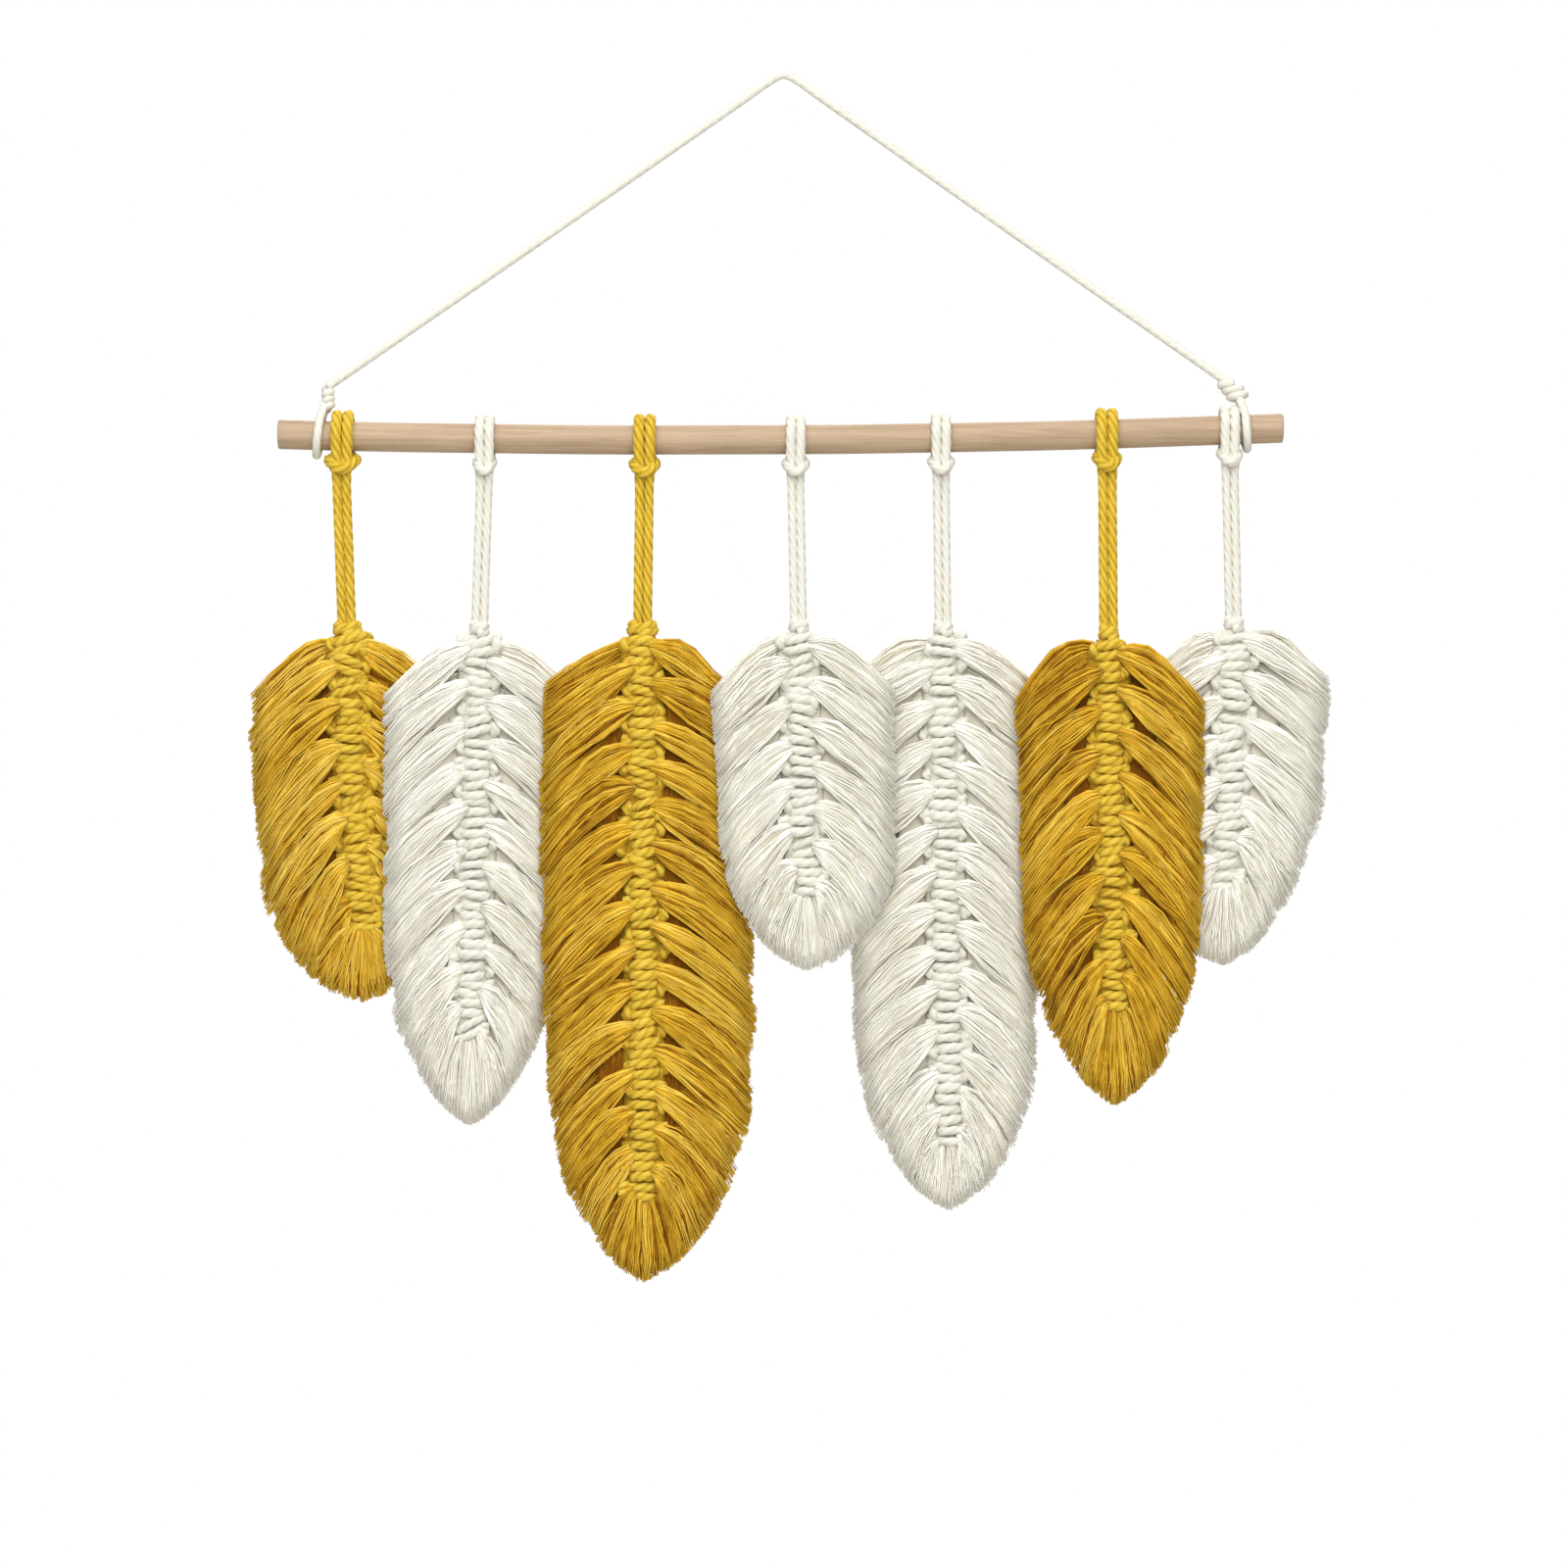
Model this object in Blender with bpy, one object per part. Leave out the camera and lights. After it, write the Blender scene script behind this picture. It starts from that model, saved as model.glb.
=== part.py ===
"""Macrame wall hanging: seven knotted cord feathers on a wooden rod, with its hanging cord.

The frame is in metres with +Z up, +X to the viewer's right and the front towards -Y.
The origin is the hanging point, on the underside of the cord at its highest bend.
Sizes are in millimetres, and MM turns them to metres where a point is made.
"""

from collections import namedtuple
import math

import bmesh
import bpy
import numpy as np
from mathutils import Vector

MM = 0.001

# Cords and clearances.
CORD = 5.0              # three-ply cotton cord of loops and knots
HANGING_CORD = 4.5      # cord that the rod hangs by
SEAT_GAP = 0.3          # left between two pieces that touch
WRAP_GAP = 0.8          # between the rod and the cords that go round it, for their facets

# Rod: a straight-grained stick that bows down a little in the middle.
ROD_DIAMETER = 15.0
ROD_LEFT_X = -258.0
ROD_RIGHT_X = 254.5
ROD_LEFT_Z = -181.2
ROD_RIGHT_Z = -177.8
ROD_BOW = 4.3
ROD_EASED_EDGE = 1.0
ROD_SIDES = 20
ROD_STATIONS = 7

# Spine of a feather: a bar of knots, one ridge to a row.
RIDGE_HALF_WIDTH = 9.5
FOLD_HALF_WIDTH = 11.0      # the side where the row's cord folds back
RIDGE_HALF_DEPTH = 8.0
VALLEY_HALF_WIDTH = 7.5
VALLEY_HALF_DEPTH = 5.4
SPINE_COLUMNS = 8

# Locks of combed cord that leave the spine on both sides.
LOCK_GAP = 0.6              # between a lock and the next, along the spine
LOCK_REACHES = (0.3, 0.65, 1.0)
LOCK_HALF_THICKNESS = (2.5, 2.0, 1.3)
LOCK_STAGGER = (1.4, 0.6, 0.0)      # every second lock leaves the knots at the back
LOCK_FALL_TOP = 13.0        # drop of the first lock from its root to its end
LOCK_FALL = 32.0            # drop of the locks further down
LOCK_FALL_RISE = 25.0       # stretch of spine over which the drop grows
LOCK_BEND = 1.6             # how late a lock turns down
LOCK_RAGGED = 0.02          # share of its reach by which a lock is cut short

# Outline of a feather.
SHOULDER = 35.0             # depth over which the top rounds out to the full width
CLOSING_ROUND = 2.2         # how full the sides stay before they close to the tip
CLOSING_POINT = 0.8         # how pointed the tip is
TIP_BAND = 20.0             # height of the tuft's cut edge at the tip
TIP_GATHER = 70.0           # stretch of spine over which the locks close up to the tuft
WIDTH_TOP = 1.04            # share of the full width at the top ...
WIDTH_LOSS = 0.12           # ... and what it loses on the way down
LEAN_BEND = 1.4             # how late a spine turns aside
WING_BEND = 1.2             # how late a wing turns to the front or back

# Tuft below the last row, in four locks: shares of its half width where they begin and end.
TUFT_REACHES = (0.35, 0.7, 1.0)
TUFT_HALF_THICKNESS = (4.2, 2.8, 1.4)
TUFT_OUTER = 0.97
TUFT_MIDDLE = 0.5
TUFT_HALF_GAP = 0.03
TUFT_CUT_BEND = 1.4         # how late the cut edge rises from the tip
TUFT_CROWD = 0.2            # how much the locks crowd towards the sides

# One row for each feather, left to right. rod_x is its loop on the rod, and top_x, top_z and
# depth the top of its spine. drift is how far the spine's tip leans to the right. left and
# right are the half widths, left_bend and right_bend how far a wing's edge bends to the
# back, so that it passes its neighbour, and taper the height over which the sides close.
Feather = namedtuple(
    "Feather",
    "colour rod_x top_x top_z depth drift rows spine tuft left right left_bend right_bend taper",
)
FEATHERS = (
    Feather("mustard", -225.0, -222.5, -284.5, -4.5, 8.0, 15, 150, 36, 52, 48, 0.0, 4.0, 60),
    Feather("cream", -152.5, -155.0, -284.5, -8.0, -5.0, 20, 205, 44, 49, 46, -4.0, 4.0, 85),
    Feather("mustard", -71.0, -72.0, -284.5, -9.5, 1.0, 28, 287, 41, 51, 57, -4.0, 4.0, 85),
    Feather("cream", 6.0, 7.5, -283.5, -11.5, 4.0, 13, 134, 37, 44, 47, -4.0, -4.0, 65),
    Feather("cream", 80.0, 81.0, -284.5, -7.0, 3.0, 25, 258, 34, 49, 47, 4.0, 4.0, 72),
    Feather("mustard", 164.5, 165.0, -287.0, -11.0, 3.0, 18, 188, 48, 47, 50, -4.0, -4.0, 85),
    Feather("cream", 227.0, 229.0, -282.0, -6.0, 1.5, 13, 132, 38, 46, 50, 4.0, 0.0, 100),
)

# Lark's head loop: the pair of cords goes up, over the rod and down behind it, and its fold
# comes forward under the rod as a collar. Places are from the rod's centre line.
LOOP_ANGLES = (200, 164, 128, 92, 56, 20, -16, -52)     # round the rod, 180 is its front
LOOP_PAIR_SPREAD = 1.15                                 # the pair opens a little on the rod
LOOP_LEAVES_ROD = -24.0                                 # height where the pair hangs straight
Collar = namedtuple("Collar", "x y z")
COLLAR_HALF = (
    Collar(2.4, 6.6, -9.4),
    Collar(6.6, 2.2, -12.8),
    Collar(7.8, -5.0, -15.2),
    Collar(6.0, -11.4, -17.0),
)
COLLAR_FRONT = Collar(0.0, -14.6, -18.2)
COLLAR_SIDES = 6
LOOP_FRONT_SETBACK = 0.6                                # below the rod the pair hangs back
# Knot under the loop, from its flat underside up: height, then the pair's widening.
KnotRing = namedtuple("KnotRing", "height wide deep")
TOP_KNOT = (
    KnotRing(0.0, 1.25, 1.7),
    KnotRing(3.0, 1.6, 2.5),
    KnotRing(6.5, 1.5, 2.3),
    KnotRing(10.0, 1.0, 1.0),
)

# Ties that hold the hanging cord to the rod: a sling round the rod, and a knot above it.
Tie = namedtuple("Tie", "name sling_x knot_x knot_rise knot_half_width knot_half_height")
TIES = (
    Tie("tie_left", -237.5, -232.5, 18.6, 4.6, 7.4),
    Tie("tie_right", 238.8, 230.0, 19.6, 8.0, 5.2),
)
SLING_LEAN = 0.62           # share of the way to the knot at which the sling enters it ...
SLING_ENTRY = 0.35          # ... and of the knot's half height below its middle
SLING_HALF_OPENING = 1.2    # between the sling's two ends and the knot's middle
SLING_ANGLES = (130, 165, 200, 235, 270, 305, 340, 375, 410)    # 180 is the rod's front
SLING_SIDES = 8
KNOT_HALF_DEPTH = 5.0
KNOT_RINGS = 6
KNOT_COLUMNS = 8
KNOT_RIDGE = 0.1

# Route of the hanging cord's centre line, x and z, from the left tie to the right one.
RoutePoint = namedtuple("RoutePoint", "x z")
HANGING_ROUTE = (
    RoutePoint(-230.8, -155.4),
    RoutePoint(-200.0, -134.3),
    RoutePoint(-160.0, -106.8),
    RoutePoint(-120.0, -79.2),
    RoutePoint(-80.0, -51.5),
    RoutePoint(-45.0, -27.2),
    RoutePoint(-20.0, -9.8),
    RoutePoint(-8.0, -1.3),
    RoutePoint(0.0, 2.25),
    RoutePoint(8.0, -1.4),
    RoutePoint(20.0, -10.0),
    RoutePoint(45.0, -27.6),
    RoutePoint(80.0, -52.3),
    RoutePoint(120.0, -80.4),
    RoutePoint(160.0, -108.4),
    RoutePoint(200.0, -136.3),
    RoutePoint(224.5, -153.4),
)
ROUTE_SPACING = 12.0
ROUTE_STEPS = 24            # steps of the smooth curve between two of these points
TUBE_START_ACROSS = Vector((0.31, 0.95, 0.02))

# Colours as sRGB hex values, with roughness.
FINISHES = {
    "mustard": ("D9A514", 0.9),
    "cream": ("EDE9DC", 0.9),
    "beech": ("C9A88A", 0.6),
}


def linear_colour(code):
    """Turn an sRGB hex value into linear red, green, blue and full alpha."""
    channels = [int(code[start:start + 2], 16) / 255 for start in (0, 2, 4)]
    linear = [c / 12.92 if c <= 0.04045 else ((c + 0.055) / 1.055) ** 2.4 for c in channels]
    return (*linear, 1.0)


def make_material(name):
    """A matt Principled material in one of the object's colours."""
    code, roughness = FINISHES[name]
    material = bpy.data.materials.new(name)
    material.use_nodes = True
    shader = material.node_tree.nodes["Principled BSDF"]
    shader.inputs["Base Color"].default_value = linear_colour(code)
    shader.inputs["Roughness"].default_value = roughness
    shader.inputs["Metallic"].default_value = 0.0
    return material


def millimetres(x, y, z):
    """A point given in millimetres, as a vector in metres."""
    return Vector((x, y, z)) * MM


def extend(bm, ring, sections):
    """Carry a closed ring of vertices through further sections, and cap the last one."""
    for section in sections:
        following = [bm.verts.new(place) for place in section]
        count = len(ring)
        for corner in range(count):
            after = (corner + 1) % count
            bm.faces.new((ring[corner], ring[after], following[after], following[corner]))
        ring = following
    bm.faces.new(ring)


def loft(bm, sections):
    """Closed solid through a row of sections with equal numbers of points."""
    first = [bm.verts.new(place) for place in sections[0]]
    bm.faces.new(list(reversed(first)))
    extend(bm, first, sections[1:])


def tube_sections(points, radius, sides):
    """Round sections along a path, without twist."""
    sections = []
    across = TUBE_START_ACROSS
    for index, point in enumerate(points):
        before = points[max(index - 1, 0)]
        after = points[min(index + 1, len(points) - 1)]
        along = (after - before).normalized()
        across = (across - along * across.dot(along)).normalized()
        other = along.cross(across)
        section = []
        for side in range(sides):
            angle = 2 * math.pi * side / sides
            outward = across * math.cos(angle) + other * math.sin(angle)
            section.append(point + outward * (radius * MM))
        sections.append(section)
    return sections


def finish_object(name, bm, material, parent, place=(0.0, 0.0, 0.0)):
    """Turn a mesh under construction into a named, placed object with outward faces."""
    bmesh.ops.recalc_face_normals(bm, faces=bm.faces)
    mesh = bpy.data.meshes.new(name)
    bm.to_mesh(mesh)
    bm.free()
    mesh.materials.append(material)
    mesh.shade_smooth()
    mesh.set_sharp_from_angle(angle=math.radians(40))
    item = bpy.data.objects.new(name, mesh)
    bpy.context.scene.collection.objects.link(item)
    item.parent = parent
    item.location = place
    return item


def join(target, helper):
    """Fuse a helper solid into a piece with a union."""
    helper.hide_render = True
    helper.display_type = "WIRE"
    union = target.modifiers.new("union_" + helper.name, "BOOLEAN")
    union.operation = "UNION"
    union.solver = "EXACT"
    union.object = helper


def rod_height(x):
    """Height of the rod's centre line at a place along it."""
    share = (x - ROD_LEFT_X) / (ROD_RIGHT_X - ROD_LEFT_X)
    chord = ROD_LEFT_Z + (ROD_RIGHT_Z - ROD_LEFT_Z) * share
    return chord - ROD_BOW * (1 - (2 * share - 1) ** 2)


def build_rod(material, parent):
    """The stick: round sections along its bow, with eased ends."""
    radius = ROD_DIAMETER / 2
    inner = np.linspace(ROD_LEFT_X + ROD_EASED_EDGE, ROD_RIGHT_X - ROD_EASED_EDGE, ROD_STATIONS)
    stations = [(ROD_LEFT_X, radius - ROD_EASED_EDGE)]
    stations += [(x, radius) for x in inner]
    stations += [(ROD_RIGHT_X, radius - ROD_EASED_EDGE)]
    sections = []
    for x, size in stations:
        section = []
        for side in range(ROD_SIDES):
            angle = 2 * math.pi * side / ROD_SIDES
            height = rod_height(x) + size * math.sin(angle)
            section.append(millimetres(x, size * math.cos(angle), height))
        sections.append(section)
    bm = bmesh.new()
    loft(bm, sections)
    return finish_object("rod", bm, material, parent)


def pair_section(place, normal, wide, deep):
    """Section through two cords that lie side by side along X."""
    radius = CORD / 2
    section = []
    for centre, start in ((radius, 120), (-radius, 300)):
        for step in range(5):
            angle = math.radians(start - 60 * step)
            across = centre + radius * math.cos(angle)
            out = radius * math.sin(angle)
            section.append(place + millimetres(across * wide, 0, 0) + normal * (out * deep * MM))
    return section


def loop_sections(feather):
    """The pair of cords from the knot over the feather, up and round the rod."""
    rod_z = rod_height(feather.rod_x)
    backward = Vector((0, 1, 0))
    sections = []
    for ring in TOP_KNOT:
        place = millimetres(feather.top_x, feather.depth, feather.top_z + SEAT_GAP + ring.height)
        sections.append(pair_section(place, backward, ring.wide, ring.deep))
    radius = ROD_DIAMETER / 2 + WRAP_GAP + CORD / 2
    front = -radius + LOOP_FRONT_SETBACK
    under_rod = millimetres(feather.rod_x, front, rod_z + LOOP_LEAVES_ROD)
    sections.append(pair_section(under_rod, backward, 1.0, 1.0))
    for degrees in LOOP_ANGLES:
        angle = math.radians(degrees)
        outward = Vector((0, math.cos(angle), math.sin(angle)))
        place = millimetres(feather.rod_x, 0, rod_z) + outward * (radius * MM)
        sections.append(pair_section(place, -outward, LOOP_PAIR_SPREAD, 1.0))
    return sections


def build_loop(number, feather, material, parent):
    """Lark's head loop of one feather, with the knot at the foot of its two cords."""
    bm = bmesh.new()
    loft(bm, loop_sections(feather))
    loop = finish_object(f"loop_{number}", bm, material, parent)

    rod_z = rod_height(feather.rod_x)
    right = [millimetres(feather.rod_x + c.x, c.y, rod_z + c.z) for c in COLLAR_HALF]
    left = [millimetres(feather.rod_x - c.x, c.y, rod_z + c.z) for c in COLLAR_HALF]
    front = millimetres(feather.rod_x, COLLAR_FRONT.y, rod_z + COLLAR_FRONT.z)
    bm = bmesh.new()
    loft(bm, tube_sections(right + [front] + left[::-1], CORD / 2, COLLAR_SIDES))
    collar = finish_object(f"collar_{number}", bm, material, parent)
    join(loop, collar)
    return loop


def outline(feather, depth, side):
    """Half width of a feather at a depth under its top."""
    total = feather.spine + feather.tuft
    full = feather.right if side > 0 else feather.left
    shoulder = math.sqrt(1 - (1 - min(depth / SHOULDER, 1.0)) ** 2)
    open_share = 1 - min((total - depth) / feather.taper, 1.0)
    closing = (1 - open_share ** CLOSING_ROUND) ** CLOSING_POINT
    return full * shoulder * closing * (WIDTH_TOP - WIDTH_LOSS * depth / total)


def spine_lean(feather, depth):
    """Sideways place of the spine at a depth under its top."""
    return feather.drift * max(depth / feather.spine, 0.0) ** LEAN_BEND


def lock_fall(feather, start):
    """Drop of a lock from its root, at a depth on the spine, to its cut end."""
    rise = 1 - math.exp(-start / LOCK_FALL_RISE)
    fall = LOCK_FALL_TOP + (LOCK_FALL - LOCK_FALL_TOP) * rise
    gather = max((start - feather.spine) / TIP_GATHER + 1, 0.0) ** 2
    return fall + (feather.tuft - TIP_BAND - fall) * gather


def wing_bend(feather, side, across):
    """How far back a wing lies at a distance from the spine."""
    bend = feather.right_bend if side > 0 else feather.left_bend
    full = feather.right if side > 0 else feather.left
    share = max((across - RIDGE_HALF_WIDTH) / (full - RIDGE_HALF_WIDTH), 0.0)
    return bend * share ** WING_BEND


def lock_point(feather, side, start, reach):
    """Place on the curve that fibres follow from a depth on the spine: x, y and z."""
    fall = lock_fall(feather, start)
    width = outline(feather, start + fall, side) - RIDGE_HALF_WIDTH
    across = RIDGE_HALF_WIDTH + width * reach
    depth = start + fall * reach ** LOCK_BEND
    lean = spine_lean(feather, depth)
    return lean + side * across, wing_bend(feather, side, across), -depth


def spine_ring(bm, feather, depth, turn, right_width, left_width, half_depth):
    """Ring of vertices round the spine at a depth under its top."""
    ring = []
    for column in range(SPINE_COLUMNS):
        angle = 2 * math.pi * (column + turn) / SPINE_COLUMNS
        width = right_width if math.cos(angle) > 0 else left_width
        x = spine_lean(feather, depth) + width * math.cos(angle)
        ring.append(bm.verts.new(millimetres(x, half_depth * math.sin(angle), -depth)))
    return ring


def knot_row(bm, valley, ridge, next_valley):
    """Faces of one row of knots, apart from the two diamonds that its locks grow from."""
    sides = (0, SPINE_COLUMNS // 2)
    for column in range(SPINE_COLUMNS):
        after = (column + 1) % SPINE_COLUMNS
        if column not in sides:
            bm.faces.new((valley[column], ridge[column - 1], ridge[column]))
            bm.faces.new((next_valley[column], ridge[column], ridge[column - 1]))
        bm.faces.new((valley[column], ridge[column], valley[after]))
        bm.faces.new((next_valley[column], next_valley[after], ridge[column]))


def lock_sections(feather, side, middle, pitch, row):
    """Diamond sections of one lock: its upper edge, front, lower edge and back."""
    stagger_sign = 1 if (row + (side > 0)) % 2 else -1
    ragged = 1 - LOCK_RAGGED * (1 + math.sin(2.4 * row * row + side))
    half = (pitch - LOCK_GAP) / 2
    sections = []
    for reach, thick, stagger in zip(LOCK_REACHES, LOCK_HALF_THICKNESS, LOCK_STAGGER):
        reach *= ragged
        upper = lock_point(feather, side, middle - half, reach)
        lower = lock_point(feather, side, middle + half, reach)
        centre = lock_point(feather, side, middle, reach)
        shift = stagger * stagger_sign
        sections.append((
            millimetres(upper[0], upper[1] + shift, upper[2]),
            millimetres(centre[0], centre[1] + shift - thick, centre[2]),
            millimetres(lower[0], lower[1] + shift, lower[2]),
            millimetres(centre[0], centre[1] + shift + thick, centre[2]),
        ))
    return sections


def tuft_point(feather, share, reach):
    """Place in the tuft: share runs from -1 at its left edge to 1 at its right edge."""
    side = 1 if share > 0 else -1
    outer = abs(share)
    cut = TIP_BAND * outer ** TUFT_CUT_BEND
    end_x = outline(feather, feather.spine + feather.tuft - cut, side) * outer ** TUFT_CROWD
    root_x = VALLEY_HALF_WIDTH * outer
    across = root_x + (end_x - root_x) * reach
    bend = 1 + (LOCK_BEND - 1) * outer
    depth = feather.spine + (feather.tuft - cut) * reach ** bend
    return spine_lean(feather, depth) + side * across, wing_bend(feather, side, across), -depth


def grow_tuft(bm, feather, ring):
    """Four locks below the last row, grown from the spine's lower end."""
    for side, corners in ((1, (0, 7, 1)), (-1, (4, 5, 3))):
        sections = []
        for reach, thick in zip(TUFT_REACHES, TUFT_HALF_THICKNESS):
            x, y, z = tuft_point(feather, side * TUFT_OUTER, reach)
            inner = tuft_point(feather, side * (TUFT_MIDDLE + TUFT_HALF_GAP), reach)
            sections.append((
                millimetres(x, y, z),
                millimetres(inner[0], inner[1] - thick, inner[2]),
                millimetres(inner[0], inner[1] + thick, inner[2]),
            ))
        extend(bm, [ring[corner] for corner in corners], sections)
    for side, corners in ((1, (7, 6, 2, 1)), (-1, (5, 6, 2, 3))):
        sections = []
        for reach, thick in zip(TUFT_REACHES, TUFT_HALF_THICKNESS):
            x, y, z = tuft_point(feather, side * (TUFT_MIDDLE - TUFT_HALF_GAP), reach)
            inner = tuft_point(feather, side * TUFT_HALF_GAP, reach)
            sections.append((
                millimetres(x, y - thick, z),
                millimetres(inner[0], inner[1] - thick, inner[2]),
                millimetres(inner[0], inner[1] + thick, inner[2]),
                millimetres(x, y + thick, z),
            ))
        extend(bm, [ring[corner] for corner in corners], sections)


def build_feather(number, feather, material, parent):
    """One feather: a ridged spine of knots with its locks and tuft in one solid."""
    bm = bmesh.new()
    pitch = feather.spine / feather.rows
    valleys = []
    for row in range(feather.rows + 1):
        width = VALLEY_HALF_WIDTH
        depth = row * pitch
        valleys.append(spine_ring(bm, feather, depth, 0.0, width, width, VALLEY_HALF_DEPTH))
    bm.faces.new(valleys[0])
    for row in range(feather.rows):
        middle = (row + 0.5) * pitch
        right_width, left_width = RIDGE_HALF_WIDTH, FOLD_HALF_WIDTH
        if row % 2:
            right_width, left_width = left_width, right_width
        ridge = spine_ring(bm, feather, middle, 0.5, right_width, left_width, RIDGE_HALF_DEPTH)
        valley, next_valley = valleys[row], valleys[row + 1]
        knot_row(bm, valley, ridge, next_valley)
        right_root = [valley[0], ridge[7], next_valley[0], ridge[0]]
        left_root = [valley[4], ridge[4], next_valley[4], ridge[3]]
        extend(bm, right_root, lock_sections(feather, 1, middle, pitch, row))
        extend(bm, left_root, lock_sections(feather, -1, middle, pitch, row))
    grow_tuft(bm, feather, valleys[-1])
    place = millimetres(feather.top_x, feather.depth, feather.top_z)
    return finish_object(f"feather_{number}", bm, material, parent, place)


def build_tie(tie, material, parent):
    """Tie of the hanging cord: a ridged knot above the rod and the sling that holds it."""
    rod_z = rod_height(tie.sling_x)
    sections = []
    for ring in range(KNOT_RINGS + 1):
        level = math.cos(math.pi * (ring + 0.5) / (KNOT_RINGS + 1))
        size = math.sqrt(1 - level ** 2) * (1 + KNOT_RIDGE * (-1) ** ring)
        section = []
        for column in range(KNOT_COLUMNS):
            angle = 2 * math.pi * column / KNOT_COLUMNS
            section.append(millimetres(
                tie.knot_x + tie.knot_half_width * size * math.cos(angle),
                KNOT_HALF_DEPTH * size * math.sin(angle),
                rod_z + tie.knot_rise + tie.knot_half_height * level,
            ))
        sections.append(section)
    bm = bmesh.new()
    loft(bm, sections)
    knot = finish_object(tie.name, bm, material, parent)

    radius = ROD_DIAMETER / 2 + WRAP_GAP + HANGING_CORD / 2
    entry_x = tie.sling_x + SLING_LEAN * (tie.knot_x - tie.sling_x)
    entry_z = rod_z + tie.knot_rise - SLING_ENTRY * tie.knot_half_height
    points = [millimetres(entry_x, -SLING_HALF_OPENING, entry_z)]
    for degrees in SLING_ANGLES:
        angle = math.radians(degrees)
        height = radius * math.sin(angle)
        points.append(millimetres(tie.sling_x, radius * math.cos(angle), rod_z + height))
    points.append(millimetres(entry_x, SLING_HALF_OPENING, entry_z))
    bm = bmesh.new()
    loft(bm, tube_sections(points, HANGING_CORD / 2, SLING_SIDES))
    sling = finish_object(tie.name + "_sling", bm, material, parent)
    join(knot, sling)
    return knot


def smooth_route(points, spacing):
    """Points at an even spacing on a Catmull-Rom curve through the route's own points."""
    route = np.array([(p.x, 0.0, p.z) for p in points])
    padded = np.vstack([2 * route[0] - route[1], route, 2 * route[-1] - route[-2]])
    dense = []
    for index in range(len(route) - 1):
        a, b, c, d = padded[index:index + 4]
        for t in np.linspace(0, 1, ROUTE_STEPS, endpoint=False):
            line = 2 * b + (c - a) * t
            bend = (2 * a - 5 * b + 4 * c - d) * t ** 2 + (3 * b - a - 3 * c + d) * t ** 3
            dense.append(0.5 * (line + bend))
    dense = np.vstack([dense, route[-1]])
    travelled = np.concatenate([[0.0], np.cumsum(np.linalg.norm(np.diff(dense, axis=0), axis=1))])
    stops = np.linspace(0, travelled[-1], int(travelled[-1] / spacing) + 1)
    return np.column_stack([np.interp(stops, travelled, dense[:, axis]) for axis in range(3)])


def build_hanging_cord(material, parent):
    """The cord that the rod hangs by: a tube along its route."""
    points = smooth_route(HANGING_ROUTE, ROUTE_SPACING)
    curve = bpy.data.curves.new("hanging_cord", "CURVE")
    curve.dimensions = "3D"
    curve.bevel_depth = HANGING_CORD / 2 * MM
    curve.bevel_resolution = 2
    curve.use_fill_caps = True
    spline = curve.splines.new("POLY")
    spline.points.add(len(points) - 1)
    for point, place in zip(spline.points, points):
        point.co = (*(place * MM), 1.0)
    spline.use_smooth = True
    curve.materials.append(material)
    cord = bpy.data.objects.new("hanging_cord", curve)
    bpy.context.scene.collection.objects.link(cord)
    cord.parent = parent
    return cord


def main():
    """Build every piece around the hanging point."""
    for item in list(bpy.data.objects):
        bpy.data.objects.remove(item)
    hanging_point = bpy.data.objects.new("hanging_point", None)
    bpy.context.scene.collection.objects.link(hanging_point)
    materials = {name: make_material(name) for name in FINISHES}

    build_rod(materials["beech"], hanging_point)
    build_hanging_cord(materials["cream"], hanging_point)
    for tie in TIES:
        build_tie(tie, materials["cream"], hanging_point)
    for number, feather in enumerate(FEATHERS, start=1):
        build_loop(number, feather, materials[feather.colour], hanging_point)
        build_feather(number, feather, materials[feather.colour], hanging_point)


main()
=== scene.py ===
"""Looks of a macrame wall hanging: seven knotted cotton feathers on a beech rod.

Every piece is worked out with numpy in millimetres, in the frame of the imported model: +X to
the viewer's right, -Y towards the viewer, +Z up, and the origin under the hanging cord's
highest bend. A cord is a section carried along a path and turned with its plies. A lock of
combed cotton is one function of three parameters, across, through and along the lock, and
its fibres are thin tubes through that function.
"""
import logging
import math
from dataclasses import dataclass, fields, replace
from enum import Enum
from functools import cache
from typing import Any

import bpy
import numpy as np
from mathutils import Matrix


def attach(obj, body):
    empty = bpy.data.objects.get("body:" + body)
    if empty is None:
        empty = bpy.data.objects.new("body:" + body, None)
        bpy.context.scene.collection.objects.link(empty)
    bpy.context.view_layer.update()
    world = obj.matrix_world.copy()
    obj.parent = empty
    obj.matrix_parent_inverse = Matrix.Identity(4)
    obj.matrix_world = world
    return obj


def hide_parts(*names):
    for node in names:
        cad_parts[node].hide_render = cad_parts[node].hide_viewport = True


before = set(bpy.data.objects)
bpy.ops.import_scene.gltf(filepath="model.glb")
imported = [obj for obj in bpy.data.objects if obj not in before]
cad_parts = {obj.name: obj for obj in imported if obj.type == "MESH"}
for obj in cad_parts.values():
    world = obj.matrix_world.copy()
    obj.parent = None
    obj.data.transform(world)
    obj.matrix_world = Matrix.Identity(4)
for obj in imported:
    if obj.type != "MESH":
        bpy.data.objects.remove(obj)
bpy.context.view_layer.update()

LOG = logging.getLogger("macrame")

MM = 0.001
DENSITY = 24                    # points for each knot of a curve, before they are spaced
BODY = "root"
Array = np.ndarray


class Dye(Enum):
    """Colours of the cotton."""

    MUSTARD = "mustard_cotton"
    CREAM = "cream_cotton"


class Face(Enum):
    """Side of the hanging that a lock leaves its knots on, as a sign along Y."""

    FRONT = -1
    BACK = 1


# ---------------------------------------------------------------------------------------
# Curves and surfaces
# ---------------------------------------------------------------------------------------

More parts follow.
